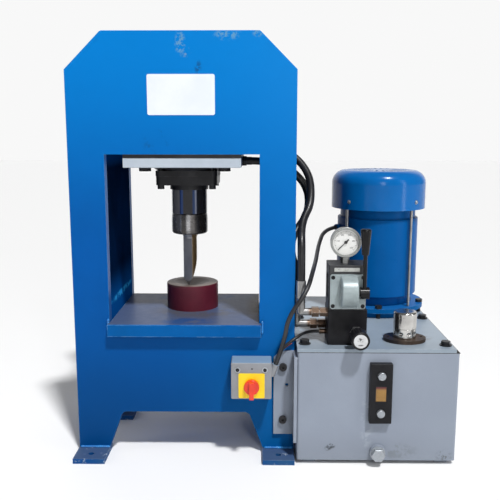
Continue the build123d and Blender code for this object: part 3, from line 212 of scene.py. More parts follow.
def grade_color(nodes, links, coord, color, heights, faces, marks):
    """Tints along an axis, tints on faces that look one way, and torn marks at places; on some materials
    these are the thing's own colour and on others painted light and shade.

    heights and faces hold (axis, low, high, tint, amount), and marks hold
    (place, half sizes, tint, amount, noise scale, noise threshold).
    """
    for axis, low, high, tint, amount in heights:
        along = axis_part(nodes, links, coord, axis)
        grade = mult(nodes, links, ramp(nodes, links, along, low, high), amount)
        color = mix(nodes, links, grade, color, tint)
    if faces:
        normal = nodes.new("ShaderNodeNewGeometry").outputs["Normal"]
    for axis, low, high, tint, amount in faces:
        along = axis_part(nodes, links, normal, axis)
        turned = mult(nodes, links, ramp(nodes, links, along, low, high), amount)
        color = mix(nodes, links, turned, color, tint)
    for place, size, tint, amount, scale, low in marks:
        grains = noise(nodes, links, coord, scale, *TORN_NOISE)
        torn = ramp(nodes, links, grains, low, low + MARK_SOFT)
        inside = mult(nodes, links, near(nodes, links, coord, place, size), torn)
        color = mix(nodes, links, mult(nodes, links, inside, amount), color, tint)
    return color


def surface(name, base, second, roughness, roughness_change, bump, grain_scale, patch_scale,
            metallic=0.0, edge=None, edge_width=0.002, edge_share=0.7, coat=0.0, stretch=None,
            spots=None, spot_scale=40.0, spot_low=0.66, heights=(), faces=(), marks=(), specular=0.5):
    """Painted or bare surface with slow colour change, gradients, marks, spots, worn edges and grain."""
    mat = bpy.data.materials.new(name)
    nodes, links, bsdf = nodes_of(mat)
    coord = nodes.new("ShaderNodeTexCoord").outputs["Object"]
    patches = noise(nodes, links, coord, patch_scale, *PATCH_NOISE, stretch)
    color = mix(nodes, links, ramp(nodes, links, patches, *PATCH_RANGE), base, second)
    color = grade_color(nodes, links, coord, color, heights, faces, marks)
    if spots:
        grains = noise(nodes, links, coord, spot_scale, *TORN_NOISE)
        color = mix(nodes, links, ramp(nodes, links, grains, spot_low, spot_low + SPOT_SOFT), color, spots)
    if edge:
        rubbed = ramp(nodes, links, noise(nodes, links, coord, WEAR_SCALE, *WEAR_NOISE), *WEAR_RANGE)
        worn = mult(nodes, links, edge_mask(nodes, links, edge_width), rubbed)
        color = mix(nodes, links, mult(nodes, links, worn, edge_share), color, edge)
    links.new(color, bsdf.inputs["Base Color"])
    span = nodes.new("ShaderNodeMapRange")
    span.inputs["To Min"].default_value = max(SMOOTHEST, roughness - roughness_change)
    span.inputs["To Max"].default_value = min(1.0, roughness + roughness_change)
    streaks = noise(nodes, links, coord, patch_scale * ROUGHNESS_PER_PATCH, *STREAK_NOISE, stretch)
    links.new(streaks, span.inputs["Value"])
    links.new(span.outputs["Result"], bsdf.inputs["Roughness"])
    bumper = nodes.new("ShaderNodeBump")
    bumper.inputs["Strength"].default_value = bump
    bumper.inputs["Distance"].default_value = BUMP_DEPTH
    links.new(noise(nodes, links, coord, grain_scale, *GRAIN_NOISE, stretch), bumper.inputs["Height"])
    links.new(bumper.outputs["Normal"], bsdf.inputs["Normal"])
    bsdf.inputs["Metallic"].default_value = metallic
    bsdf.inputs["Coat Weight"].default_value = coat
    bsdf.inputs["Coat Roughness"].default_value = COAT_ROUGHNESS
    bsdf.inputs["Specular IOR Level"].default_value = specular
    return mat


# Materials: colours are linear, and marks and gradients are placed in the shared frame
GREY_SCUFF = (0.16, 0.33, 0.45)
DARK_SCUFF = (0.01, 0.04, 0.11)
looks = {}
looks["frame"] = surface(
    "frame_blue", base=(0.0018, 0.088, 0.35), second=(0.0018, 0.078, 0.31), roughness=0.34,
    roughness_change=0.1, bump=0.25, grain_scale=420, patch_scale=5, edge=(0.02, 0.26, 0.62),
    edge_width=0.0025, spots=(0.003, 0.045, 0.15), spot_scale=75, spot_low=0.73, specular=0.05,
    # Painted light: the frame's blue is lighter towards the top and to the right and darker towards the
    # bottom, for light from above and the right
    heights=[
        ("Z", 0.45, 0.97, (0.0022, 0.20, 0.60), 0.92),
        ("Z", 0.44, 0.03, (0.0016, 0.050, 0.185), 0.95),
        ("X", -0.08, 0.26, (0.0022, 0.22, 0.62), 0.25),
    ],
    marks=[
        ((0.0, FRONT, 0.925), (0.014, 0.01, 0.032), GREY_SCUFF, 0.8, 90, 0.46),
        ((0.012, FRONT, 0.905), (0.022, 0.01, 0.012), (0.20, 0.30, 0.36), 0.9, 70, 0.5),
        ((0.038, FRONT, 0.873), (0.010, 0.01, 0.020), DARK_SCUFF, 0.6, 80, 0.44),
        ((0.10, FRONT, 0.942), (0.035, 0.01, 0.016), GREY_SCUFF, 0.7, 110, 0.47),
        ((0.165, FRONT, 0.944), (0.014, 0.01, 0.010), GREY_SCUFF, 0.7, 110, 0.44),
        ((-0.055, FRONT, 0.715), (0.035, 0.01, 0.040), DARK_SCUFF, 0.4, 40, 0.56),
    ])
# Painted shade: the inner walls and bed supports take a much darker copy of the frame's blue paint, for the
# shade inside the opening
looks["wall"] = surface(
    "wall_blue_painted_shade", base=(0.0012, 0.012, 0.05), second=(0.001, 0.007, 0.028), roughness=0.34,
    roughness_change=0.1, bump=0.25, grain_scale=300, patch_scale=5, spots=(0.03, 0.12, 0.28),
    spot_scale=90, spot_low=0.73, specular=0.0,
    # Painted light: the walls are lighter towards the bottom and in a band at their top, where light
    # reaches in
    heights=[
        ("Z", 0.43, 0.33, (0.002, 0.085, 0.34), 0.9),
        ("Z", 0.655, 0.685, (0.002, 0.06, 0.24), 0.8),
    ],
    # Painted light: a bright band on the left inner wall just above the table
    marks=[((-0.17, 0.0, 0.352), (0.02, 0.17, 0.011), (0.03, 0.36, 0.80), 0.9, 60, 0.42)])
looks["pad"] = surface(
    "pad_paint", base=(0.004, 0.06, 0.22), second=(0.02, 0.08, 0.2), roughness=0.5,
    roughness_change=0.12, bump=0.4, grain_scale=240, patch_scale=16, edge=(0.28, 0.36, 0.46),
    spots=(0.30, 0.36, 0.44), spot_scale=60, spot_low=0.6, specular=0.08,
    faces=[("Z", 0.7, 0.95, (0.06, 0.09, 0.16), 0.7)])
looks["table"] = surface(
    "table_steel", base=(0.0008, 0.095, 0.33), second=(0.0008, 0.082, 0.28), roughness=0.34,
    roughness_change=0.12, bump=0.3, grain_scale=260, patch_scale=9, edge=(0.20, 0.42, 0.66),
    edge_width=0.0025, edge_share=0.9, spots=(0.12, 0.17, 0.28), spot_scale=70, spot_low=0.74,
    specular=0.06,
    faces=[
        ("Z", 0.7, 0.95, (0.075, 0.098, 0.17), 0.92),
        # Painted shade: the table's downward faces are darker
        ("Z", -0.7, -0.95, (0.001, 0.01, 0.03), 0.9),
    ],
    marks=[
        # Painted shadow: a dark brown patch on the right end of the table top, for the right column's
        # shadow
        ((0.175, 0.0, TABLE_TOP), (0.045, 0.20, 0.008), (0.075, 0.042, 0.022), 0.85, 9, 0.36),
        ((0.02, -0.05, TABLE_TOP), (0.13, 0.09, 0.008), (0.085, 0.085, 0.10), 0.8, 14, 0.42),
        ((-0.06, 0.06, TABLE_TOP), (0.05, 0.10, 0.008), (0.003, 0.055, 0.21), 0.8, 12, 0.45),
        ((0.09, 0.09, TABLE_TOP), (0.035, 0.06, 0.008), (0.004, 0.065, 0.23), 0.8, 14, 0.45),
        ((0.0, -0.14, TABLE_TOP), (0.09, 0.04, 0.008), (0.003, 0.06, 0.22), 0.7, 14, 0.45),
        ((0.12, FRONT, 0.33), (0.06, 0.02, 0.02), (0.05, 0.12, 0.25), 0.5, 50, 0.5),
    ])
looks["die"] = surface(
    "die_steel", base=(0.125, 0.016, 0.030), second=(0.10, 0.013, 0.026), roughness=0.42,
    roughness_change=0.1, bump=0.3, grain_scale=300, patch_scale=22, edge=(0.20, 0.10, 0.10),
    edge_width=0.0015, spots=(0.28, 0.2, 0.17), spot_scale=90, spot_low=0.72, specular=0.25,
    # Painted shade: the die's left side is darker, away from the light
    heights=[("X", 0.03, -0.06, (0.045, 0.006, 0.014), 0.75)],
    faces=[("Z", 0.7, 0.95, (0.17, 0.135, 0.115), 0.95)],
    marks=[
        # Partly painted shadow and partly a brownish stain: a darker patch on the die top around the punch
        # tip
        ((-0.02, -0.02, 0.374), (0.045, 0.05, 0.01), (0.06, 0.05, 0.045), 0.8, 30, 0.4),
        ((-0.05, -0.055, 0.36), (0.006, 0.03, 0.05), (0.10, 0.07, 0.06), 0.6, 60, 0.5),
    ])
looks["black"] = surface(
    "black_steel", base=(0.012, 0.012, 0.014), second=(0.022, 0.022, 0.025), roughness=0.38,
    roughness_change=0.12, bump=0.3, grain_scale=300, patch_scale=20, edge=(0.07, 0.07, 0.075),
    spots=(0.05, 0.048, 0.045), spot_scale=60, spot_low=0.7, specular=0.25)
looks["plate"] = surface(
    "plate_steel", base=(0.46, 0.52, 0.59), second=(0.40, 0.46, 0.53), roughness=0.42,
    roughness_change=0.1, bump=0.3, grain_scale=300, patch_scale=10, edge=(0.75, 0.80, 0.85),
    spots=(0.32, 0.36, 0.40), spot_scale=80, spot_low=0.68,
    # Painted shade: the mounting plate's downward faces are darker
    faces=[("Z", -0.7, -0.95, (0.03, 0.035, 0.04), 0.9)])
looks["rubber"] = surface(
    "seal_rubber", base=(0.01, 0.01, 0.01), second=(0.0072, 0.0072, 0.0072), roughness=0.7,
    roughness_change=0.1, bump=0.3, grain_scale=400, patch_scale=20)
looks["ram"] = surface(
    "ram_chrome", base=(0.035, 0.035, 0.038), second=(0.022, 0.023, 0.027), roughness=0.14,
    roughness_change=0.05, metallic=0.6, bump=0.03, grain_scale=300, patch_scale=6, stretch=(1, 1, 0.1),
    spots=(0.012, 0.02, 0.05), spot_scale=9, spot_low=0.64,
    # Painted reflections: lighter grey and blue strips along the ram at set places across X, with darker
    # bands between
    heights=[
        ("X", -0.0105, -0.0125, (0.016, 0.045, 0.15), 0.9),
        ("X", -0.0185, -0.0205, (0.32, 0.32, 0.34), 0.9),
        ("X", 0.0100, 0.0125, (0.02, 0.045, 0.13), 0.9),
        ("X", 0.0155, 0.0175, (0.22, 0.24, 0.30), 0.8),
        ("X", 0.0195, 0.0215, (0.03, 0.03, 0.035), 0.9),
    ])
looks["nose"] = surface(
    "nose_steel", base=(0.085, 0.083, 0.082), second=(0.06, 0.058, 0.058), roughness=0.26,
    roughness_change=0.08, metallic=0.6, bump=0.1, grain_scale=300, patch_scale=9, edge=(0.5, 0.5, 0.5),
    spots=(0.07, 0.05, 0.04), spot_scale=18,
    # Painted highlight and reflections: a bright band near the middle of the nose and a light strip at its
    # left edge, with darker bands between
    heights=[
        ("X", -0.007, -0.001, (0.62, 0.62, 0.63), 0.85),
        ("X", 0.002, 0.008, (0.13, 0.12, 0.115), 0.9),
        ("X", 0.013, 0.018, (0.03, 0.028, 0.028), 0.85),
        ("X", -0.014, -0.019, (0.26, 0.27, 0.29), 0.8),
        ("Z", 0.512, 0.503, (0.09, 0.08, 0.07), 0.6),
    ])
looks["punch"] = surface(
    "punch_steel", base=(0.33, 0.335, 0.36), second=(0.25, 0.255, 0.275), roughness=0.34,
    roughness_change=0.1, metallic=0.4, bump=0.15, grain_scale=300, patch_scale=14,
    edge=(0.6, 0.6, 0.62), edge_width=0.0015,
    heights=[("X", 0.0045, 0.0075, (0.20, 0.12, 0.03), 0.9)])
looks["hose"] = surface(
    "hose_rubber", base=(0.008, 0.008, 0.010), second=(0.018, 0.018, 0.020), roughness=0.34,
    roughness_change=0.08, bump=0.3, grain_scale=500, patch_scale=25, spots=(0.05, 0.05, 0.052),
    spot_scale=60, spot_low=0.7, specular=0.4)
looks["bright"] = surface(
    "bright_steel", base=(0.36, 0.36, 0.36), second=(0.26, 0.26, 0.26), roughness=0.3,
    roughness_change=0.08, metallic=0.8, bump=0.1, grain_scale=400, patch_scale=30,
    edge=(0.7, 0.7, 0.68), spots=(0.16, 0.15, 0.14), spot_scale=50, spot_low=0.7)
looks["brass"] = surface(
    "fitting_steel", base=(0.30, 0.30, 0.30), second=(0.20, 0.20, 0.20), roughness=0.3,
    roughness_change=0.08, metallic=0.7, bump=0.1, grain_scale=400, patch_scale=30,
    edge=(0.6, 0.55, 0.5), spots=(0.10, 0.08, 0.06), spot_scale=50, spot_low=0.68,
    heights=[("X", 0.276, 0.284, (0.11, 0.062, 0.034), 0.9)])
looks["bolt"] = surface(
    "zinc_bolt", base=(0.42, 0.45, 0.48), second=(0.32, 0.34, 0.37), roughness=0.3,
    roughness_change=0.1, metallic=0.75, bump=0.15, grain_scale=400, patch_scale=30,
    edge=(0.75, 0.78, 0.8), spots=(0.2, 0.19, 0.17), spot_scale=60)
looks["tank"] = surface(
    "tank_paint", base=(0.285, 0.325, 0.395), second=(0.25, 0.285, 0.35), roughness=0.42,
    roughness_change=0.08, bump=0.25, grain_scale=300, patch_scale=3, edge=(0.42, 0.46, 0.52),
    spots=(0.10, 0.11, 0.12), spot_scale=130, spot_low=0.745, specular=0.3,
    heights=[
        ("Z", 0.10, 0.012, (0.20, 0.225, 0.27), 0.6),
        ("X", 0.5, 0.62, (0.24, 0.275, 0.335), 0.6),
    ],
    # Painted shade: the tank's left-facing sides are darker
    faces=[("X", -0.7, -0.95, (0.12, 0.135, 0.16), 0.8)],
    marks=[
        ((0.3315, TANK_FRONT, 0.043), (0.012, 0.01, 0.008), (0.03, 0.035, 0.04), 0.9, 120, 0.4),
        ((0.325, TANK_FRONT, 0.038), (0.010, 0.01, 0.008), (0.03, 0.035, 0.04), 0.8, 150, 0.45),
        ((0.585, TANK_FRONT, 0.022), (0.022, 0.02, 0.02), (0.10, 0.11, 0.12), 0.8, 60, 0.46),
        ((0.47, TANK_FRONT, 0.03), (0.07, 0.02, 0.03), (0.16, 0.18, 0.2), 0.6, 30, 0.5),
        # Painted highlight: a light vertical streak on the tank front, where light catches a seam
        ((0.41, TANK_FRONT, 0.10), (0.018, 0.02, 0.09), (0.34, 0.38, 0.44), 0.6, 40, 0.48),
        ((0.435, TANK_FRONT, 0.30), (0.2, 0.02, 0.06), (0.20, 0.235, 0.29), 0.6, 20, 0.5),
    ])
looks["lid"] = surface(
    "lid_steel", base=(0.30, 0.365, 0.43), second=(0.26, 0.32, 0.385), roughness=0.34,
    roughness_change=0.1, bump=0.25, grain_scale=300, patch_scale=6, edge=(0.55, 0.6, 0.65),
    spots=(0.14, 0.15, 0.15), spot_scale=26, spot_low=0.69, specular=0.4,
    heights=[("Y", -0.10, -0.19, (0.24, 0.29, 0.345), 0.6)],
    marks=[
        ((0.30, -0.05, 0.269), (0.06, 0.12, 0.01), (0.10, 0.10, 0.09), 0.7, 25, 0.42),
        ((0.53, -0.12, 0.269), (0.05, 0.03, 0.01), (0.12, 0.08, 0.06), 0.6, 60, 0.44),
    ])
looks["plastic"] = surface(
    "black_plastic", base=(0.007, 0.007, 0.009), second=(0.013, 0.013, 0.015), roughness=0.4,
    roughness_change=0.08, bump=0.2, grain_scale=400, patch_scale=30, edge=(0.06, 0.06, 0.065),
    specular=0.2)
looks["window"] = surface(
    "window_plastic", base=(0.30, 0.16, 0.035), second=(0.22, 0.11, 0.03), roughness=0.15,
    roughness_change=0.05, bump=0.02, grain_scale=100, patch_scale=30,
    heights=[("Z", 0.178, 0.186, (0.09, 0.012, 0.02), 0.95)])
looks["rust"] = surface(
    "rusty_steel", base=(0.050, 0.034, 0.026), second=(0.085, 0.060, 0.045), roughness=0.5,
    roughness_change=0.15, metallic=0.3, bump=0.5, grain_scale=300, patch_scale=40,
    spots=(0.10, 0.045, 0.025), spot_scale=70, spot_low=0.6, specular=0.2,
    # Painted shade: the filler flange is darker towards its left side
    heights=[("X", 0.500, 0.470, (0.022, 0.022, 0.026), 0.8)])
looks["cap"] = surface(
    "cap_chrome", base=(0.56, 0.55, 0.53), second=(0.42, 0.41, 0.40), roughness=0.16,
    roughness_change=0.07, metallic=0.95, bump=0.12, grain_scale=120, patch_scale=20,
    spots=(0.25, 0.24, 0.23), spot_scale=50, spot_low=0.64)
looks["alu"] = surface(
    "cast_aluminium", base=(0.34, 0.40, 0.415), second=(0.26, 0.31, 0.32), roughness=0.38,
    roughness_change=0.12, metallic=0.15, bump=0.45, grain_scale=350, patch_scale=25,
    edge=(0.6, 0.66, 0.68), spots=(0.10, 0.11, 0.11), spot_scale=110, spot_low=0.72)
looks["cast"] = surface(
    "cast_grey", base=(0.07, 0.07, 0.075), second=(0.05, 0.05, 0.055), roughness=0.55,
    roughness_change=0.1, metallic=0.2, bump=0.5, grain_scale=300, patch_scale=25)
looks["motor"] = surface(
    "motor_paint", base=(0.0008, 0.104, 0.36), second=(0.0008, 0.090, 0.315), roughness=0.3,
    roughness_change=0.1, bump=0.2, grain_scale=300, patch_scale=7, edge=(0.02, 0.2, 0.55),
    spots=(0.08, 0.28, 0.55), spot_scale=120, spot_low=0.76, specular=0.05,
    # Painted shade: the motor body's left-facing sides are darker
    faces=[("X", -0.55, -0.9, (0.001, 0.03, 0.12), 0.85)])
looks["flange"] = surface(
    "flange_paint", base=(0.002, 0.100, 0.32), second=(0.003, 0.112, 0.33), roughness=0.4,
    roughness_change=0.1, bump=0.3, grain_scale=300, patch_scale=30, edge=(0.20, 0.36, 0.55),
    spots=(0.10, 0.15, 0.24), spot_scale=70, spot_low=0.68, specular=0.04,
    faces=[("Z", 0.7, 0.95, (0.01, 0.12, 0.38), 0.7)])
looks["cowl"] = surface(
    "cowl_paint", base=(0.0010, 0.135, 0.44), second=(0.0010, 0.118, 0.39), roughness=0.19,
    roughness_change=0.05, bump=0.15, grain_scale=300, patch_scale=6, edge=(0.02, 0.24, 0.62),
    spots=(0.03, 0.22, 0.6), spot_scale=100, spot_low=0.76, specular=0.22,
    # Painted shade: the cowl's left-facing sides are darker
    faces=[("X", -0.6, -0.95, (0.002, 0.045, 0.18), 0.8)])
looks["manifold"] = surface(
    "manifold_black", base=(0.006, 0.006, 0.008), second=(0.014, 0.014, 0.016), roughness=0.4,
    roughness_change=0.1, bump=0.25, grain_scale=300, patch_scale=20, edge=(0.06, 0.06, 0.065),
    spots=(0.03, 0.03, 0.033), spot_scale=60, spot_low=0.7, specular=0.15)
looks["valve"] = surface(
    "valve_cast", base=(0.045, 0.046, 0.050), second=(0.025, 0.026, 0.029), roughness=0.46,
    roughness_change=0.1, metallic=0.1, bump=0.5, grain_scale=300, patch_scale=25,
    edge=(0.2, 0.2, 0.21))
looks["grip"] = surface(
    "grip_plastic", base=(0.006, 0.006, 0.007), second=(0.011, 0.011, 0.012), roughness=0.24,
    roughness_change=0.06, bump=0.1, grain_scale=300, patch_scale=20, spots=(0.03, 0.03, 0.032),
    spot_scale=70, spot_low=0.66, specular=0.2)
looks["case"] = surface(
    "gauge_bezel", base=(0.16, 0.165, 0.16), second=(0.10, 0.105, 0.105), roughness=0.3,
    roughness_change=0.1, metallic=0.6, bump=0.15, grain_scale=300, patch_scale=25,
    spots=(0.2, 0.2, 0.19), spot_scale=90, specular=0.3,
    heights=[("Y", -0.150, -0.1515, (0.38, 0.39, 0.38), 0.8)])
looks["box"] = surface(
    "box_paint", base=(0.265, 0.275, 0.295), second=(0.22, 0.225, 0.24), roughness=0.42,
    roughness_change=0.1, bump=0.3, grain_scale=350, patch_scale=14, edge=(0.5, 0.5, 0.49),
    spots=(0.14, 0.14, 0.14), spot_scale=90, spot_low=0.7, specular=0.4,
    faces=[
        ("Z", 0.7, 0.95, (0.20, 0.34, 0.50), 0.7),
        ("X", -0.7, -0.95, (0.30, 0.31, 0.31), 0.5),
    ])
looks["yellow"] = surface(
    "plate_yellow", base=(0.95, 0.68, 0.004), second=(0.88, 0.58, 0.004), roughness=0.32,
    roughness_change=0.08, bump=0.1, grain_scale=200, patch_scale=20, spots=(0.55, 0.36, 0.02),
    spot_scale=90, spot_low=0.74)
looks["red"] = surface(
    "knob_red", base=(0.78, 0.045, 0.012), second=(0.62, 0.025, 0.008), roughness=0.3,
    roughness_change=0.08, bump=0.1, grain_scale=200, patch_scale=20, coat=0.2,
    spots=(0.45, 0.02, 0.01), spot_scale=90, spot_low=0.7)
looks["cable"] = surface(
    "cable_sheath", base=(0.012, 0.012, 0.014), second=(0.026, 0.026, 0.029), roughness=0.4,
    roughness_change=0.08, bump=0.2, grain_scale=500, patch_scale=30, spots=(0.06, 0.06, 0.065),
    spot_scale=110, spot_low=0.7)
looks["white"] = surface(
    "plate_white", base=(0.80, 0.84, 0.88), second=(0.74, 0.79, 0.84), roughness=0.35,
    roughness_change=0.08, bump=0.1, grain_scale=300, patch_scale=12, spots=(0.6, 0.66, 0.72),
    spot_scale=90, spot_low=0.72)
looks["dial"] = surface(
    "dial_white", base=(0.80, 0.80, 0.78), second=(0.74, 0.74, 0.72), roughness=0.5,
    roughness_change=0.08, bump=0.05, grain_scale=300, patch_scale=40)
looks["ink"] = surface(
    "dial_ink", base=(0.012, 0.012, 0.012), second=(0.03, 0.03, 0.03), roughness=0.6,
    roughness_change=0.1, bump=0.05, grain_scale=300, patch_scale=40)
looks["disc"] = surface(
    "knob_disc", base=(0.62, 0.63, 0.64), second=(0.50, 0.51, 0.52), roughness=0.4,
    roughness_change=0.08, bump=0.1, grain_scale=300, patch_scale=30, spots=(0.30, 0.31, 0.32),
    spot_scale=120, spot_low=0.7,
    marks=[
        ((0.385, -0.2466, 0.301), (0.0085, 0.004, 0.007), (0.02, 0.02, 0.022), 0.95, 190, 0.46),
        ((0.386, -0.2466, 0.2895), (0.008, 0.004, 0.0022), (0.02, 0.02, 0.022), 0.9, 160, 0.36),
    ])
looks["tag"] = surface(
    "silver_tag", base=(0.55, 0.56, 0.54), second=(0.42, 0.43, 0.41), roughness=0.3,
    roughness_change=0.1, metallic=0.6, bump=0.2, grain_scale=300, patch_scale=60,
    spots=(0.3, 0.3, 0.29), spot_scale=140, spot_low=0.6)
looks["hole"] = surface(
    "dark_hole", base=(0.006, 0.006, 0.006), second=(0.012, 0.011, 0.010), roughness=0.7,
    roughness_change=0.1, bump=0.3, grain_scale=300, patch_scale=40)
looks["weld"] = surface(
    "painted_weld", base=(0.02, 0.22, 0.58), second=(0.005, 0.13, 0.44), roughness=0.35,
    roughness_change=0.1, bump=0.5, grain_scale=260, patch_scale=60, edge=(0.15, 0.42, 0.72), coat=0.15)
looks["core_red"] = surface(
    "wire_red", base=(0.62, 0.06, 0.025), second=(0.5, 0.04, 0.02), roughness=0.4,
    roughness_change=0.08, bump=0.15, grain_scale=500, patch_scale=60)
looks["core_blue"] = surface(
    "wire_blue", base=(0.01, 0.18, 0.55), second=(0.01, 0.14, 0.45), roughness=0.4,
    roughness_change=0.08, bump=0.15, grain_scale=500, patch_scale=60)

# Which nodes wear which material
USES = {
    "frame": "front_plate rear_plate head_plates", "wall": "inner_walls bed_supports", "pad": "foot_pads",
    "table": "work_table", "die": "die", "plate": "mounting_plate",
    "black": "packing_plate hex_bolts cylinder_barrel gland socket_screws piston port_elbows",
    "rubber": "rod_seal piston_seals lid_gasket", "ram": "ram", "nose": "ram_nose", "punch": "punch",
    "hose": "hose_a hose_b", "bright": "hose_sleeves tie_rods spool relief_valve", "brass": "port_fittings",
    "bolt": "gauge_bolts drain_plug", "tank": "tank tank_bracket", "lid": "service_lid motor_plate",
    "plastic": "level_gauge cooling_fan relief_knob", "window": "gauge_window", "rust": "filler_flange",
    "cap": "breather_cap", "alu": "gear_pump lever_housing", "cast": "bell_housing coupling rotor",
    "motor": "motor_body", "flange": "motor_flange", "cowl": "fan_cowl", "manifold": "manifold",
    "ink": "gauge_pointer", "case": "gauge_case", "valve": "valve_body", "grip": "lever_grip lever_rod",
    "box": "switch_box", "yellow": "switch_plate", "red": "switch_knob",
    "cable": "motor_cable control_cable",
}
for key, names in USES.items():
    for name in names.split():
        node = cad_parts[name]
        node.data.materials.clear()
        node.data.materials.append(looks[key])


# Small pieces that only the scene has
OUTWARD = (0, -1, 0)
RIM_STEPS = 4
SAME_PLACE = 1e-7


def skin_loops(bm, pairs, count):
    """Faces between each pair of closed loops of count points."""
    for first, second in pairs:
        for index in range(count):
            after = (index + 1) % count
            bm.faces.new((first[index], first[after], second[after], second[index]))


def disc_mesh(name, place, axis, radius, height, segments=32, round_top=0.0, inner=0.0):
    """A turned disc or ring that stands height proud of place along axis, with its outer rim rounded."""
    profile = [(inner, 0.0), (radius, 0.0), (radius, height - round_top)]
    for step in range(1, RIM_STEPS + 1):
        turn = math.radians(90 * step / RIM_STEPS)
        profile.append((radius - round_top + round_top * math.cos(turn),
                        height - round_top + round_top * math.sin(turn)))
    profile.append((inner, height))
    bm = bmesh.new()
    across = Vector(axis).orthogonal().normalized()
    up = Vector(axis).normalized()
    rings = []
    for out, along in profile:
        ring = []
        for index in range(segments):
            turned = Matrix.Rotation(2 * math.pi * index / segments, 3, up) @ across
            ring.append(bm.verts.new(Vector(place) + turned * out + up * along))
        rings.append(ring)
    skin_loops(bm, zip(rings, rings[1:]), segments)
    bmesh.ops.remove_doubles(bm, verts=bm.verts, dist=SAME_PLACE)
    bmesh.ops.dissolve_degenerate(bm, edges=bm.edges, dist=SAME_PLACE)
    bmesh.ops.recalc_face_normals(bm, faces=bm.faces)
    return make_mesh(name, bm, smooth=True)


CORNER_STEPS = 6
PLATE_EDGE = 0.0003


def plate_mesh(name, low, high, y, depth, corner):
    """A thin plate with rounded corners, from its back at y to depth in front of it."""
    bm = bmesh.new()
    (x0, z0), (x1, z1) = low, high
    outline = []
    for cx, cz, start in ((x1 - corner, z1 - corner, 0), (x0 + corner, z1 - corner, 90),
                          (x0 + corner, z0 + corner, 180), (x1 - corner, z0 + corner, 270)):
        for step in range(CORNER_STEPS + 1):
            turn = math.radians(start + 90 * step / CORNER_STEPS)
            outline.append((cx + corner * math.cos(turn), cz + corner * math.sin(turn)))
    face = bm.faces.new([bm.verts.new((x, y, z)) for x, z in outline])
    grown = bmesh.ops.extrude_face_region(bm, geom=[face])
    moved = [item for item in grown["geom"] if isinstance(item, bmesh.types.BMVert)]
    bmesh.ops.translate(bm, verts=moved, vec=(0, -depth, 0))
    front = [e for e in bm.edges if all(abs(v.co.y - (y - depth)) < SAME_PLACE for v in e.verts)]
    bmesh.ops.bevel(bm, geom=front, offset=PLATE_EDGE, segments=2, profile=0.5, affect="EDGES")
    bmesh.ops.recalc_face_normals(bm, faces=bm.faces)
    return make_mesh(name, bm)


def curve_object(name, points, radius, material, body, round_steps, path_steps):
    """A round curve along smooth points, from the first point to the last."""
    data = bpy.data.curves.new(name, "CURVE")
    data.dimensions = "3D"
    data.bevel_depth = radius
    data.bevel_resolution = round_steps
    data.resolution_u = path_steps
    data.use_fill_caps = True
    line = data.splines.new("NURBS")
    line.points.add(len(points) - 1)
    for point, place in zip(line.points, points):
        point.co = (*place, 1)
    line.order_u = 3
    line.use_endpoint_u = True
    return add_object(name, data, material, body)


def lettering(name, text, place, size, material):
    """Generic numbers or words set flat on a face that looks along -Y, turned into a mesh."""
    data = bpy.data.curves.new(name + "_text", "FONT")
    data.body = text
    data.size = size
    data.extrude = LETTER_DEPTH
    data.align_x = "CENTER"
    data.align_y = "CENTER"
    data.resolution_u = 3
    draft = bpy.data.objects.new(name + "_text", data)
    scene.collection.objects.link(draft)
    draft.location = place
    draft.rotation_euler = (math.radians(90), 0, 0)
    bpy.context.view_layer.update()
    mesh = bpy.data.meshes.new_from_object(draft.evaluated_get(bpy.context.evaluated_depsgraph_get()))
    mesh.transform(draft.matrix_world)
    mesh.name = name
    bpy.data.objects.remove(draft)
    bpy.data.curves.remove(data)
    mesh.materials.clear()
    add_object(name, mesh, material, "press")


# Bare nameplate on the frame's head and bare tag on the valve, as low and high corners in X and Z
NAMEPLATE = ((-0.0725, 0.774), (0.0732, 0.860))
NAMEPLATE_T, NAMEPLATE_CORNER = 0.0008, 0.004
TAG = ((0.3345, 0.4355), (0.3905, 0.4440))
TAG_BACK, TAG_T, TAG_CORNER = -0.175, 0.0006, 0.0006
add_object("nameplate", plate_mesh("nameplate", *NAMEPLATE, FRONT, NAMEPLATE_T, NAMEPLATE_CORNER),
           looks["white"], "press")
add_object("valve_tag", plate_mesh("valve_tag", *TAG, TAG_BACK, TAG_T, TAG_CORNER), looks["tag"], "press")

# Dial of the pressure gauge
DIAL_GAP, DIAL_T, DIAL_RIM = 0.0002, 0.0005, 0.0001
POINTER_HOLE = 0.0017
SCALE_START, SCALE_SWEEP = 225, 270
TICKS, TICKS_PER_NUMBER = 50, 5
TICK_INSET = 0.0035
TICK_LONG, TICK_SHORT = 0.0035, 0.0018
TICK_LONG_HALF, TICK_SHORT_HALF = 0.00032, 0.00016
INK_Y, INK_T = DIAL_Y - 0.00055, 0.0001
NUMBERS = ("0", "100", "200", "300", "400", "500")
NUMBER_R, NUMBER_SIZE, LETTER_DEPTH = 0.0175, 0.0050, 0.00006


def tick_box(bm, turn, inner, outer, half):
    """One tick of the scale: a thin block that points away from the dial's middle."""
    out = Vector((math.cos(turn), 0, math.sin(turn)))
    side = Vector((-math.sin(turn), 0, math.cos(turn))) * half
    center = Vector((GAUGE_X, INK_Y, GAUGE_Z))
    corners = [center + out * inner - side, center + out * outer - side,
               center + out * outer + side, center + out * inner + side]
    low = [bm.verts.new(corner) for corner in corners]
    high = [bm.verts.new(corner + Vector((0, -INK_T, 0))) for corner in corners]
    bm.faces.new(low)
    bm.faces.new(high[::-1])
    skin_loops(bm, [(low, high)], len(corners))


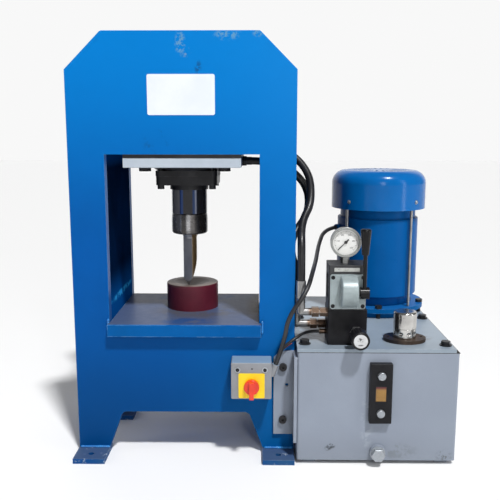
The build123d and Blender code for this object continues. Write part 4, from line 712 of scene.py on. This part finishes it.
def build_dial():
    """The dial's face with its ticks and numbers."""
    face = disc_mesh("dial_face", (GAUGE_X, DIAL_Y, GAUGE_Z), OUTWARD, DIAL_R - DIAL_GAP, DIAL_T,
                     segments=64, round_top=DIAL_RIM, inner=POINTER_HOLE)
    add_object("dial_face", face, looks["dial"], "press")
    bm = bmesh.new()
    for index in range(TICKS + 1):
        turn = math.radians(SCALE_START - SCALE_SWEEP * index / TICKS)
        outer = DIAL_R - TICK_INSET
        if index % TICKS_PER_NUMBER == 0:
            tick_box(bm, turn, outer - TICK_LONG, outer, TICK_LONG_HALF)
        else:
            tick_box(bm, turn, outer - TICK_SHORT, outer, TICK_SHORT_HALF)
    bmesh.ops.recalc_face_normals(bm, faces=bm.faces)
    add_object("dial_ticks", make_mesh("dial_ticks", bm), looks["ink"], "press")
    for index, number in enumerate(NUMBERS):
        turn = math.radians(SCALE_START - SCALE_SWEEP * index / (len(NUMBERS) - 1))
        place = (GAUGE_X + NUMBER_R * math.cos(turn), INK_Y, GAUGE_Z + NUMBER_R * math.sin(turn))
        lettering("dial_number_" + number, number, place, NUMBER_SIZE, looks["ink"])


build_dial()

# Words beside the switch
WORD_Y, WORD_SIZE = -0.2042, 0.0050
lettering("switch_off", "OFF", (0.153, WORD_Y, 0.2045), WORD_SIZE, looks["ink"])
lettering("switch_on", "ON", (0.1765, WORD_Y, 0.184), WORD_SIZE, looks["ink"])

# Worn disc on the relief knob's face
KNOB_DISC_R, KNOB_DISC_T, KNOB_DISC_RIM = 0.0150, 0.0004, 0.0002
knob_disc = disc_mesh("relief_disc", (KNOB_X, KNOB_FRONT, KNOB_Z), OUTWARD, KNOB_DISC_R, KNOB_DISC_T,
                      segments=48, round_top=KNOB_DISC_RIM)
add_object("relief_disc", knob_disc, looks["disc"], "relief_adjuster")

# Chrome skirt of the breather cap over its neck, with a row of round dimples and faint flutes
SKIRT_R, SKIRT_WALL = 0.0256, 0.0018
SKIRT_LOW, SKIRT_HIGH = 0.2775, 0.2998
SKIRT_AROUND, SKIRT_UP = 96, 22
DIMPLES, DIMPLE_R, DIMPLE_DEPTH, DIMPLE_RISE = 9, 0.0042, 0.0022, 0.0105
FLUTES, FLUTE_DEPTH = 9, 0.0004


def skirt_radius(turn, z):
    """The skirt's radius at an angle and a height, less its dimples and with its flutes."""
    sunk = 0.0
    for dimple in range(DIMPLES):
        off = (turn - 2 * math.pi * dimple / DIMPLES + math.pi) % (2 * math.pi) - math.pi
        gone = math.hypot(off * SKIRT_R, z - (SKIRT_LOW + DIMPLE_RISE)) / DIMPLE_R
        sunk += DIMPLE_DEPTH * max(0.0, 1 - gone * gone)
    rise = max(0.0, (z - SKIRT_LOW) / (SKIRT_HIGH - SKIRT_LOW))
    return SKIRT_R - sunk + FLUTE_DEPTH * math.cos(turn * FLUTES) * rise


def build_skirt():
    """The skirt as one closed wall, from its outer rows to its inner ones."""
    bm = bmesh.new()
    turns = [2 * math.pi * index / SKIRT_AROUND for index in range(SKIRT_AROUND)]
    loops = []
    for step in range(SKIRT_UP + 1):
        z = SKIRT_LOW + (SKIRT_HIGH - SKIRT_LOW) * step / SKIRT_UP
        radii = [skirt_radius(turn, z) for turn in turns]
        loops.append([(turn, r, z) for turn, r in zip(turns, radii)])
    for z in (SKIRT_HIGH, SKIRT_LOW):
        loops.append([(turn, SKIRT_R - SKIRT_WALL, z) for turn in turns])
    rows = []
    for loop in loops:
        rows.append([bm.verts.new((CAP_X + r * math.cos(turn), CAP_Y + r * math.sin(turn), z))
                     for turn, r, z in loop])
    skin_loops(bm, zip(rows, rows[1:] + rows[:1]), SKIRT_AROUND)
    bmesh.ops.recalc_face_normals(bm, faces=bm.faces)
    add_object("cap_skirt", make_mesh("cap_skirt", bm, smooth=True), looks["cap"], "breather")


build_skirt()

# Screws with washers and the small hole on the switch box
BOX_SCREW_X = (0.1218, 0.1826)
BOX_SCREW_Z = 0.2190
BOX_SCREW_Y = BOX_FRONT - 0.001
BOX_WASHER_R, BOX_WASHER_T, BOX_WASHER_RIM, BOX_WASHER_BORE = 0.0062, 0.0012, 0.0003, 0.0015
BOX_HEAD_R, BOX_HEAD_T, BOX_HEAD_RIM, BOX_HEAD_BORE = 0.0040, 0.0030, 0.0018, 0.0011
BOX_HOLE = (0.1539, BOX_FRONT - 0.00005, 0.2213)
BOX_HOLE_R, BOX_HOLE_T, BOX_HOLE_RIM = 0.0018, 0.0003, 0.0001
for index, x in enumerate(BOX_SCREW_X):
    washer = disc_mesh("box_washer", (x, BOX_FRONT, BOX_SCREW_Z), OUTWARD, BOX_WASHER_R, BOX_WASHER_T,
                       round_top=BOX_WASHER_RIM, inner=BOX_WASHER_BORE)
    add_object("box_washer_%d" % index, washer, looks["bolt"], "press")
    screw = disc_mesh("box_screw", (x, BOX_SCREW_Y, BOX_SCREW_Z), OUTWARD, BOX_HEAD_R, BOX_HEAD_T,
                      round_top=BOX_HEAD_RIM, inner=BOX_HEAD_BORE)
    add_object("box_screw_%d" % index, screw, looks["black"], "press")
hole = disc_mesh("box_hole", BOX_HOLE, OUTWARD, BOX_HOLE_R, BOX_HOLE_T, segments=24, round_top=BOX_HOLE_RIM)
add_object("box_hole", hole, looks["hole"], "press")

# Screws that hold the cowl, set square to its round wall
COWL_SCREWS = ((0.392, 0.076), (0.570, 0.070), (0.395, 0.262), (0.575, 0.262))
COWL_SCREW_Z = 0.565
WASHER_R, WASHER_T, WASHER_RIM = 0.0052, 0.0012, 0.0003
SCREW_R, SCREW_T, SCREW_RIM = 0.0036, 0.0028, 0.0014
for index, (x, y) in enumerate(COWL_SCREWS):
    out = Vector((x - MOTOR_X, y - MOTOR_Y, 0)).normalized()
    place = Vector((MOTOR_X, MOTOR_Y, COWL_SCREW_Z)) + out * COWL_R
    washer = disc_mesh("cowl_washer", place, out, WASHER_R, WASHER_T, round_top=WASHER_RIM)
    add_object("cowl_washer_%d" % index, washer, looks["bolt"], "press")
    screw = disc_mesh("cowl_screw", place + out * WASHER_T, out, SCREW_R, SCREW_T, round_top=SCREW_RIM)
    add_object("cowl_screw_%d" % index, screw, looks["bolt"], "press")

# Coloured cores beside the control cable
CORE_R, CORE_ROUND, CORE_STEPS = 0.0011, 4, 8
CORE_ROUTES = {
    "core_red": [(0.2235, -0.1652, 0.2528), (0.229, -0.1630, 0.2580), (0.236, -0.1570, 0.2615),
                 (0.2467, -0.1515, 0.2662)],
    "core_blue": [(0.2235, -0.1625, 0.2500), (0.230, -0.1600, 0.2550), (0.237, -0.1545, 0.2585),
                  (0.2467, -0.1490, 0.2640)],
}
for name, route in CORE_ROUTES.items():
    curve_object(name, route, CORE_R, looks[name], "press", CORE_ROUND, CORE_STEPS)

# Weld seams where the legs meet their pads and where the table meets the frame
BEAD_LENGTH, BEAD_CHANGE, BEAD_FLAT = 0.9, 0.25, 0.77
DRAW_TIMES, DRAW_PLUS, DRAW_SPAN = 1103515245, 12345, 2147483648


def weld(name, start, end, radius, beads, seed):
    """A weld seam: overlapping flattened beads, each a little different."""
    bm = bmesh.new()
    start, end = Vector(start), Vector(end)
    along = (end - start).normalized()
    state = seed
    for index in range(beads):
        state = (state * DRAW_TIMES + DRAW_PLUS) % DRAW_SPAN
        size = radius * (1 + BEAD_CHANGE * (state / DRAW_SPAN - 0.5))
        place = start.lerp(end, (index + 0.5) / beads)
        turn = along.to_track_quat("X", "Z").to_matrix().to_4x4()
        half = max((end - start).length / beads, size * BEAD_LENGTH)
        shape = Matrix.Translation(place) @ turn @ Matrix.Diagonal((half, size, size * BEAD_FLAT, 1))
        bmesh.ops.create_icosphere(bm, subdivisions=2, radius=1.0, matrix=shape)
    add_object(name, make_mesh(name, bm, smooth=True), looks["weld"], "press")


LEG_WELD_Y, LEG_WELD_Z = -0.1555, 0.0135
TABLE_WELD_Y = -0.1560
weld("weld_leg_left", (-0.245, LEG_WELD_Y, LEG_WELD_Z), (-0.180, LEG_WELD_Y, LEG_WELD_Z),
     radius=0.0035, beads=14, seed=3)
weld("weld_leg_right", (0.184, LEG_WELD_Y, LEG_WELD_Z), (0.247, LEG_WELD_Y, LEG_WELD_Z),
     radius=0.0035, beads=13, seed=11)
weld("weld_table_left", (-0.1722, TABLE_WELD_Y, 0.320), (-0.1722, TABLE_WELD_Y, 0.306),
     radius=0.0040, beads=3, seed=5)
weld("weld_table_right", (0.1765, -0.1575, 0.316), (0.1765, -0.1575, 0.290),
     radius=0.0036, beads=5, seed=7)
weld("weld_table_low", (0.135, TABLE_WELD_Y, 0.2825), (0.172, TABLE_WELD_Y, 0.2825),
     radius=0.0028, beads=8, seed=17)

# Hoses and cables on the routes of the part's source
CORD_ROUND, CORD_STEPS = 5, 10
HOSE_R, MOTOR_CABLE_R, CONTROL_CABLE_R = 0.009, 0.005, 0.0035
GLAND_LEAN = math.radians(20)
MOTOR_GLAND, MOTOR_GLAND_REACH = (0.2065, -0.186, 0.226), 0.056
CONTROL_GLAND, CONTROL_GLAND_REACH = (0.205, -0.169, 0.221), 0.036


def above_gland(foot, reach):
    """The point that a cable passes on its slant out of a gland of the switch box."""
    return (foot[0] + reach * math.sin(GLAND_LEAN), foot[1], foot[2] + reach * math.cos(GLAND_LEAN))


def cord(name, node, points, radius, material):
    """A hose or cable in place of its CAD tube, which it hides."""
    obj = curve_object(name, points, radius, material, "press", CORD_ROUND, CORD_STEPS)
    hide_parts(node)


cord("oil_hose_a", "hose_a",
     [(0.108, 0, 0.84095), (0.14807, 0, 0.77155), (0.212, -0.016, 0.711), (0.286, -0.032, 0.655),
      (0.292, -0.064, 0.577), (0.265, -0.102, 0.536), (0.263, -0.16, 0.481), (0.263, -0.16, 0.412)],
     HOSE_R, looks["hose"])
cord("oil_hose_b", "hose_b",
     [(0.151, -0.02, 0.672), (0.216, -0.02, 0.672), (0.284, -0.008, 0.618), (0.289, -0.018, 0.55),
      (0.25, -0.05, 0.502), (0.242, -0.086, 0.466), (0.256, -0.115, 0.424), (0.256, -0.115, 0.371)],
     HOSE_R, looks["hose"])
cord("motor_lead", "motor_cable",
     [(0.37273, 0.1462, 0.492), (0.33898, 0.1165, 0.48975), (0.318, 0.04, 0.462), (0.305, -0.045, 0.438),
      (0.293, -0.12, 0.43), (0.275, -0.19, 0.395), (0.233, -0.197, 0.338),
      above_gland(MOTOR_GLAND, MOTOR_GLAND_REACH), MOTOR_GLAND],
     MOTOR_CABLE_R, looks["cable"])
cord("control_lead", "control_cable",
     [(0.307, -0.132, 0.288), (0.279, -0.132, 0.288), (0.25, -0.168, 0.281),
      above_gland(CONTROL_GLAND, CONTROL_GLAND_REACH), CONTROL_GLAND],
     CONTROL_CABLE_R, looks["cable"])

# Pale floor
FLOOR_HALF = 20
FLOOR_SHADE, FLOOR_ROUGHNESS = 0.86, 0.9
floor_bm = bmesh.new()
bmesh.ops.create_grid(floor_bm, x_segments=1, y_segments=1, size=FLOOR_HALF)
floor_mat = bpy.data.materials.new("floor_pale")
floor_bsdf = nodes_of(floor_mat)[2]
floor_bsdf.inputs["Base Color"].default_value = (FLOOR_SHADE, FLOOR_SHADE, FLOOR_SHADE, 1)
floor_bsdf.inputs["Roughness"].default_value = FLOOR_ROUGHNESS
floor = add_object("floor", make_mesh("floor", floor_bm), floor_mat)

# Studio light: a bright backdrop behind the press and a dim dome elsewhere
BACKDROP, DOME = 0.94, 0.17
BACKDROP_FROM, BACKDROP_FULL = 0.55, 0.8
world = bpy.data.worlds.new("studio")
scene.world = world
world.use_nodes = True
tree = world.node_tree
sky = tree.nodes["Background"]
direction = tree.nodes.new("ShaderNodeTexCoord").outputs["Generated"]
behind = ramp(tree.nodes, tree.links, axis_part(tree.nodes, tree.links, direction, "Y"),
              BACKDROP_FROM, BACKDROP_FULL)
shade = mix(tree.nodes, tree.links, behind, (DOME, DOME, DOME), (BACKDROP, BACKDROP, BACKDROP))
tree.links.new(shade, sky.inputs[0])
sky.inputs[1].default_value = 1.0


def aimed(name, data, way):
    """Put a lamp in the scene so that it shines along way."""
    lamp = bpy.data.objects.new(name, data)
    scene.collection.objects.link(lamp)
    lamp.rotation_euler = Vector(way).to_track_quat("-Z", "Y").to_euler()
    return lamp


def area(name, place, target, size, power):
    """A rectangular lamp at place that looks at target."""
    data = bpy.data.lights.new(name, "AREA")
    data.shape = "RECTANGLE"
    data.size, data.size_y = size
    data.energy = power
    aimed(name, data, Vector(target) - Vector(place)).location = place


KEY_POWER, KEY_ANGLE = 3.0, 5
KEY_WAY = (-0.5, 1.0, -2.0)
key_data = bpy.data.lights.new("key", "SUN")
key_data.energy = KEY_POWER
key_data.angle = math.radians(KEY_ANGLE)
aimed("key", key_data, KEY_WAY)
FRAME_MIDDLE = (0, 0, 0.55)
STRIP_SIZE = (0.16, 1.5)
area("flash", (0.55, -2.1, 1.15), (0.2, 0, 0.55), (0.14, 0.9), power=7)
area("strip_left", (-1.5, -0.5, 0.7), FRAME_MIDDLE, STRIP_SIZE, power=4)
area("strip_right", (1.9, -0.9, 0.9), FRAME_MIDDLE, STRIP_SIZE, power=5)
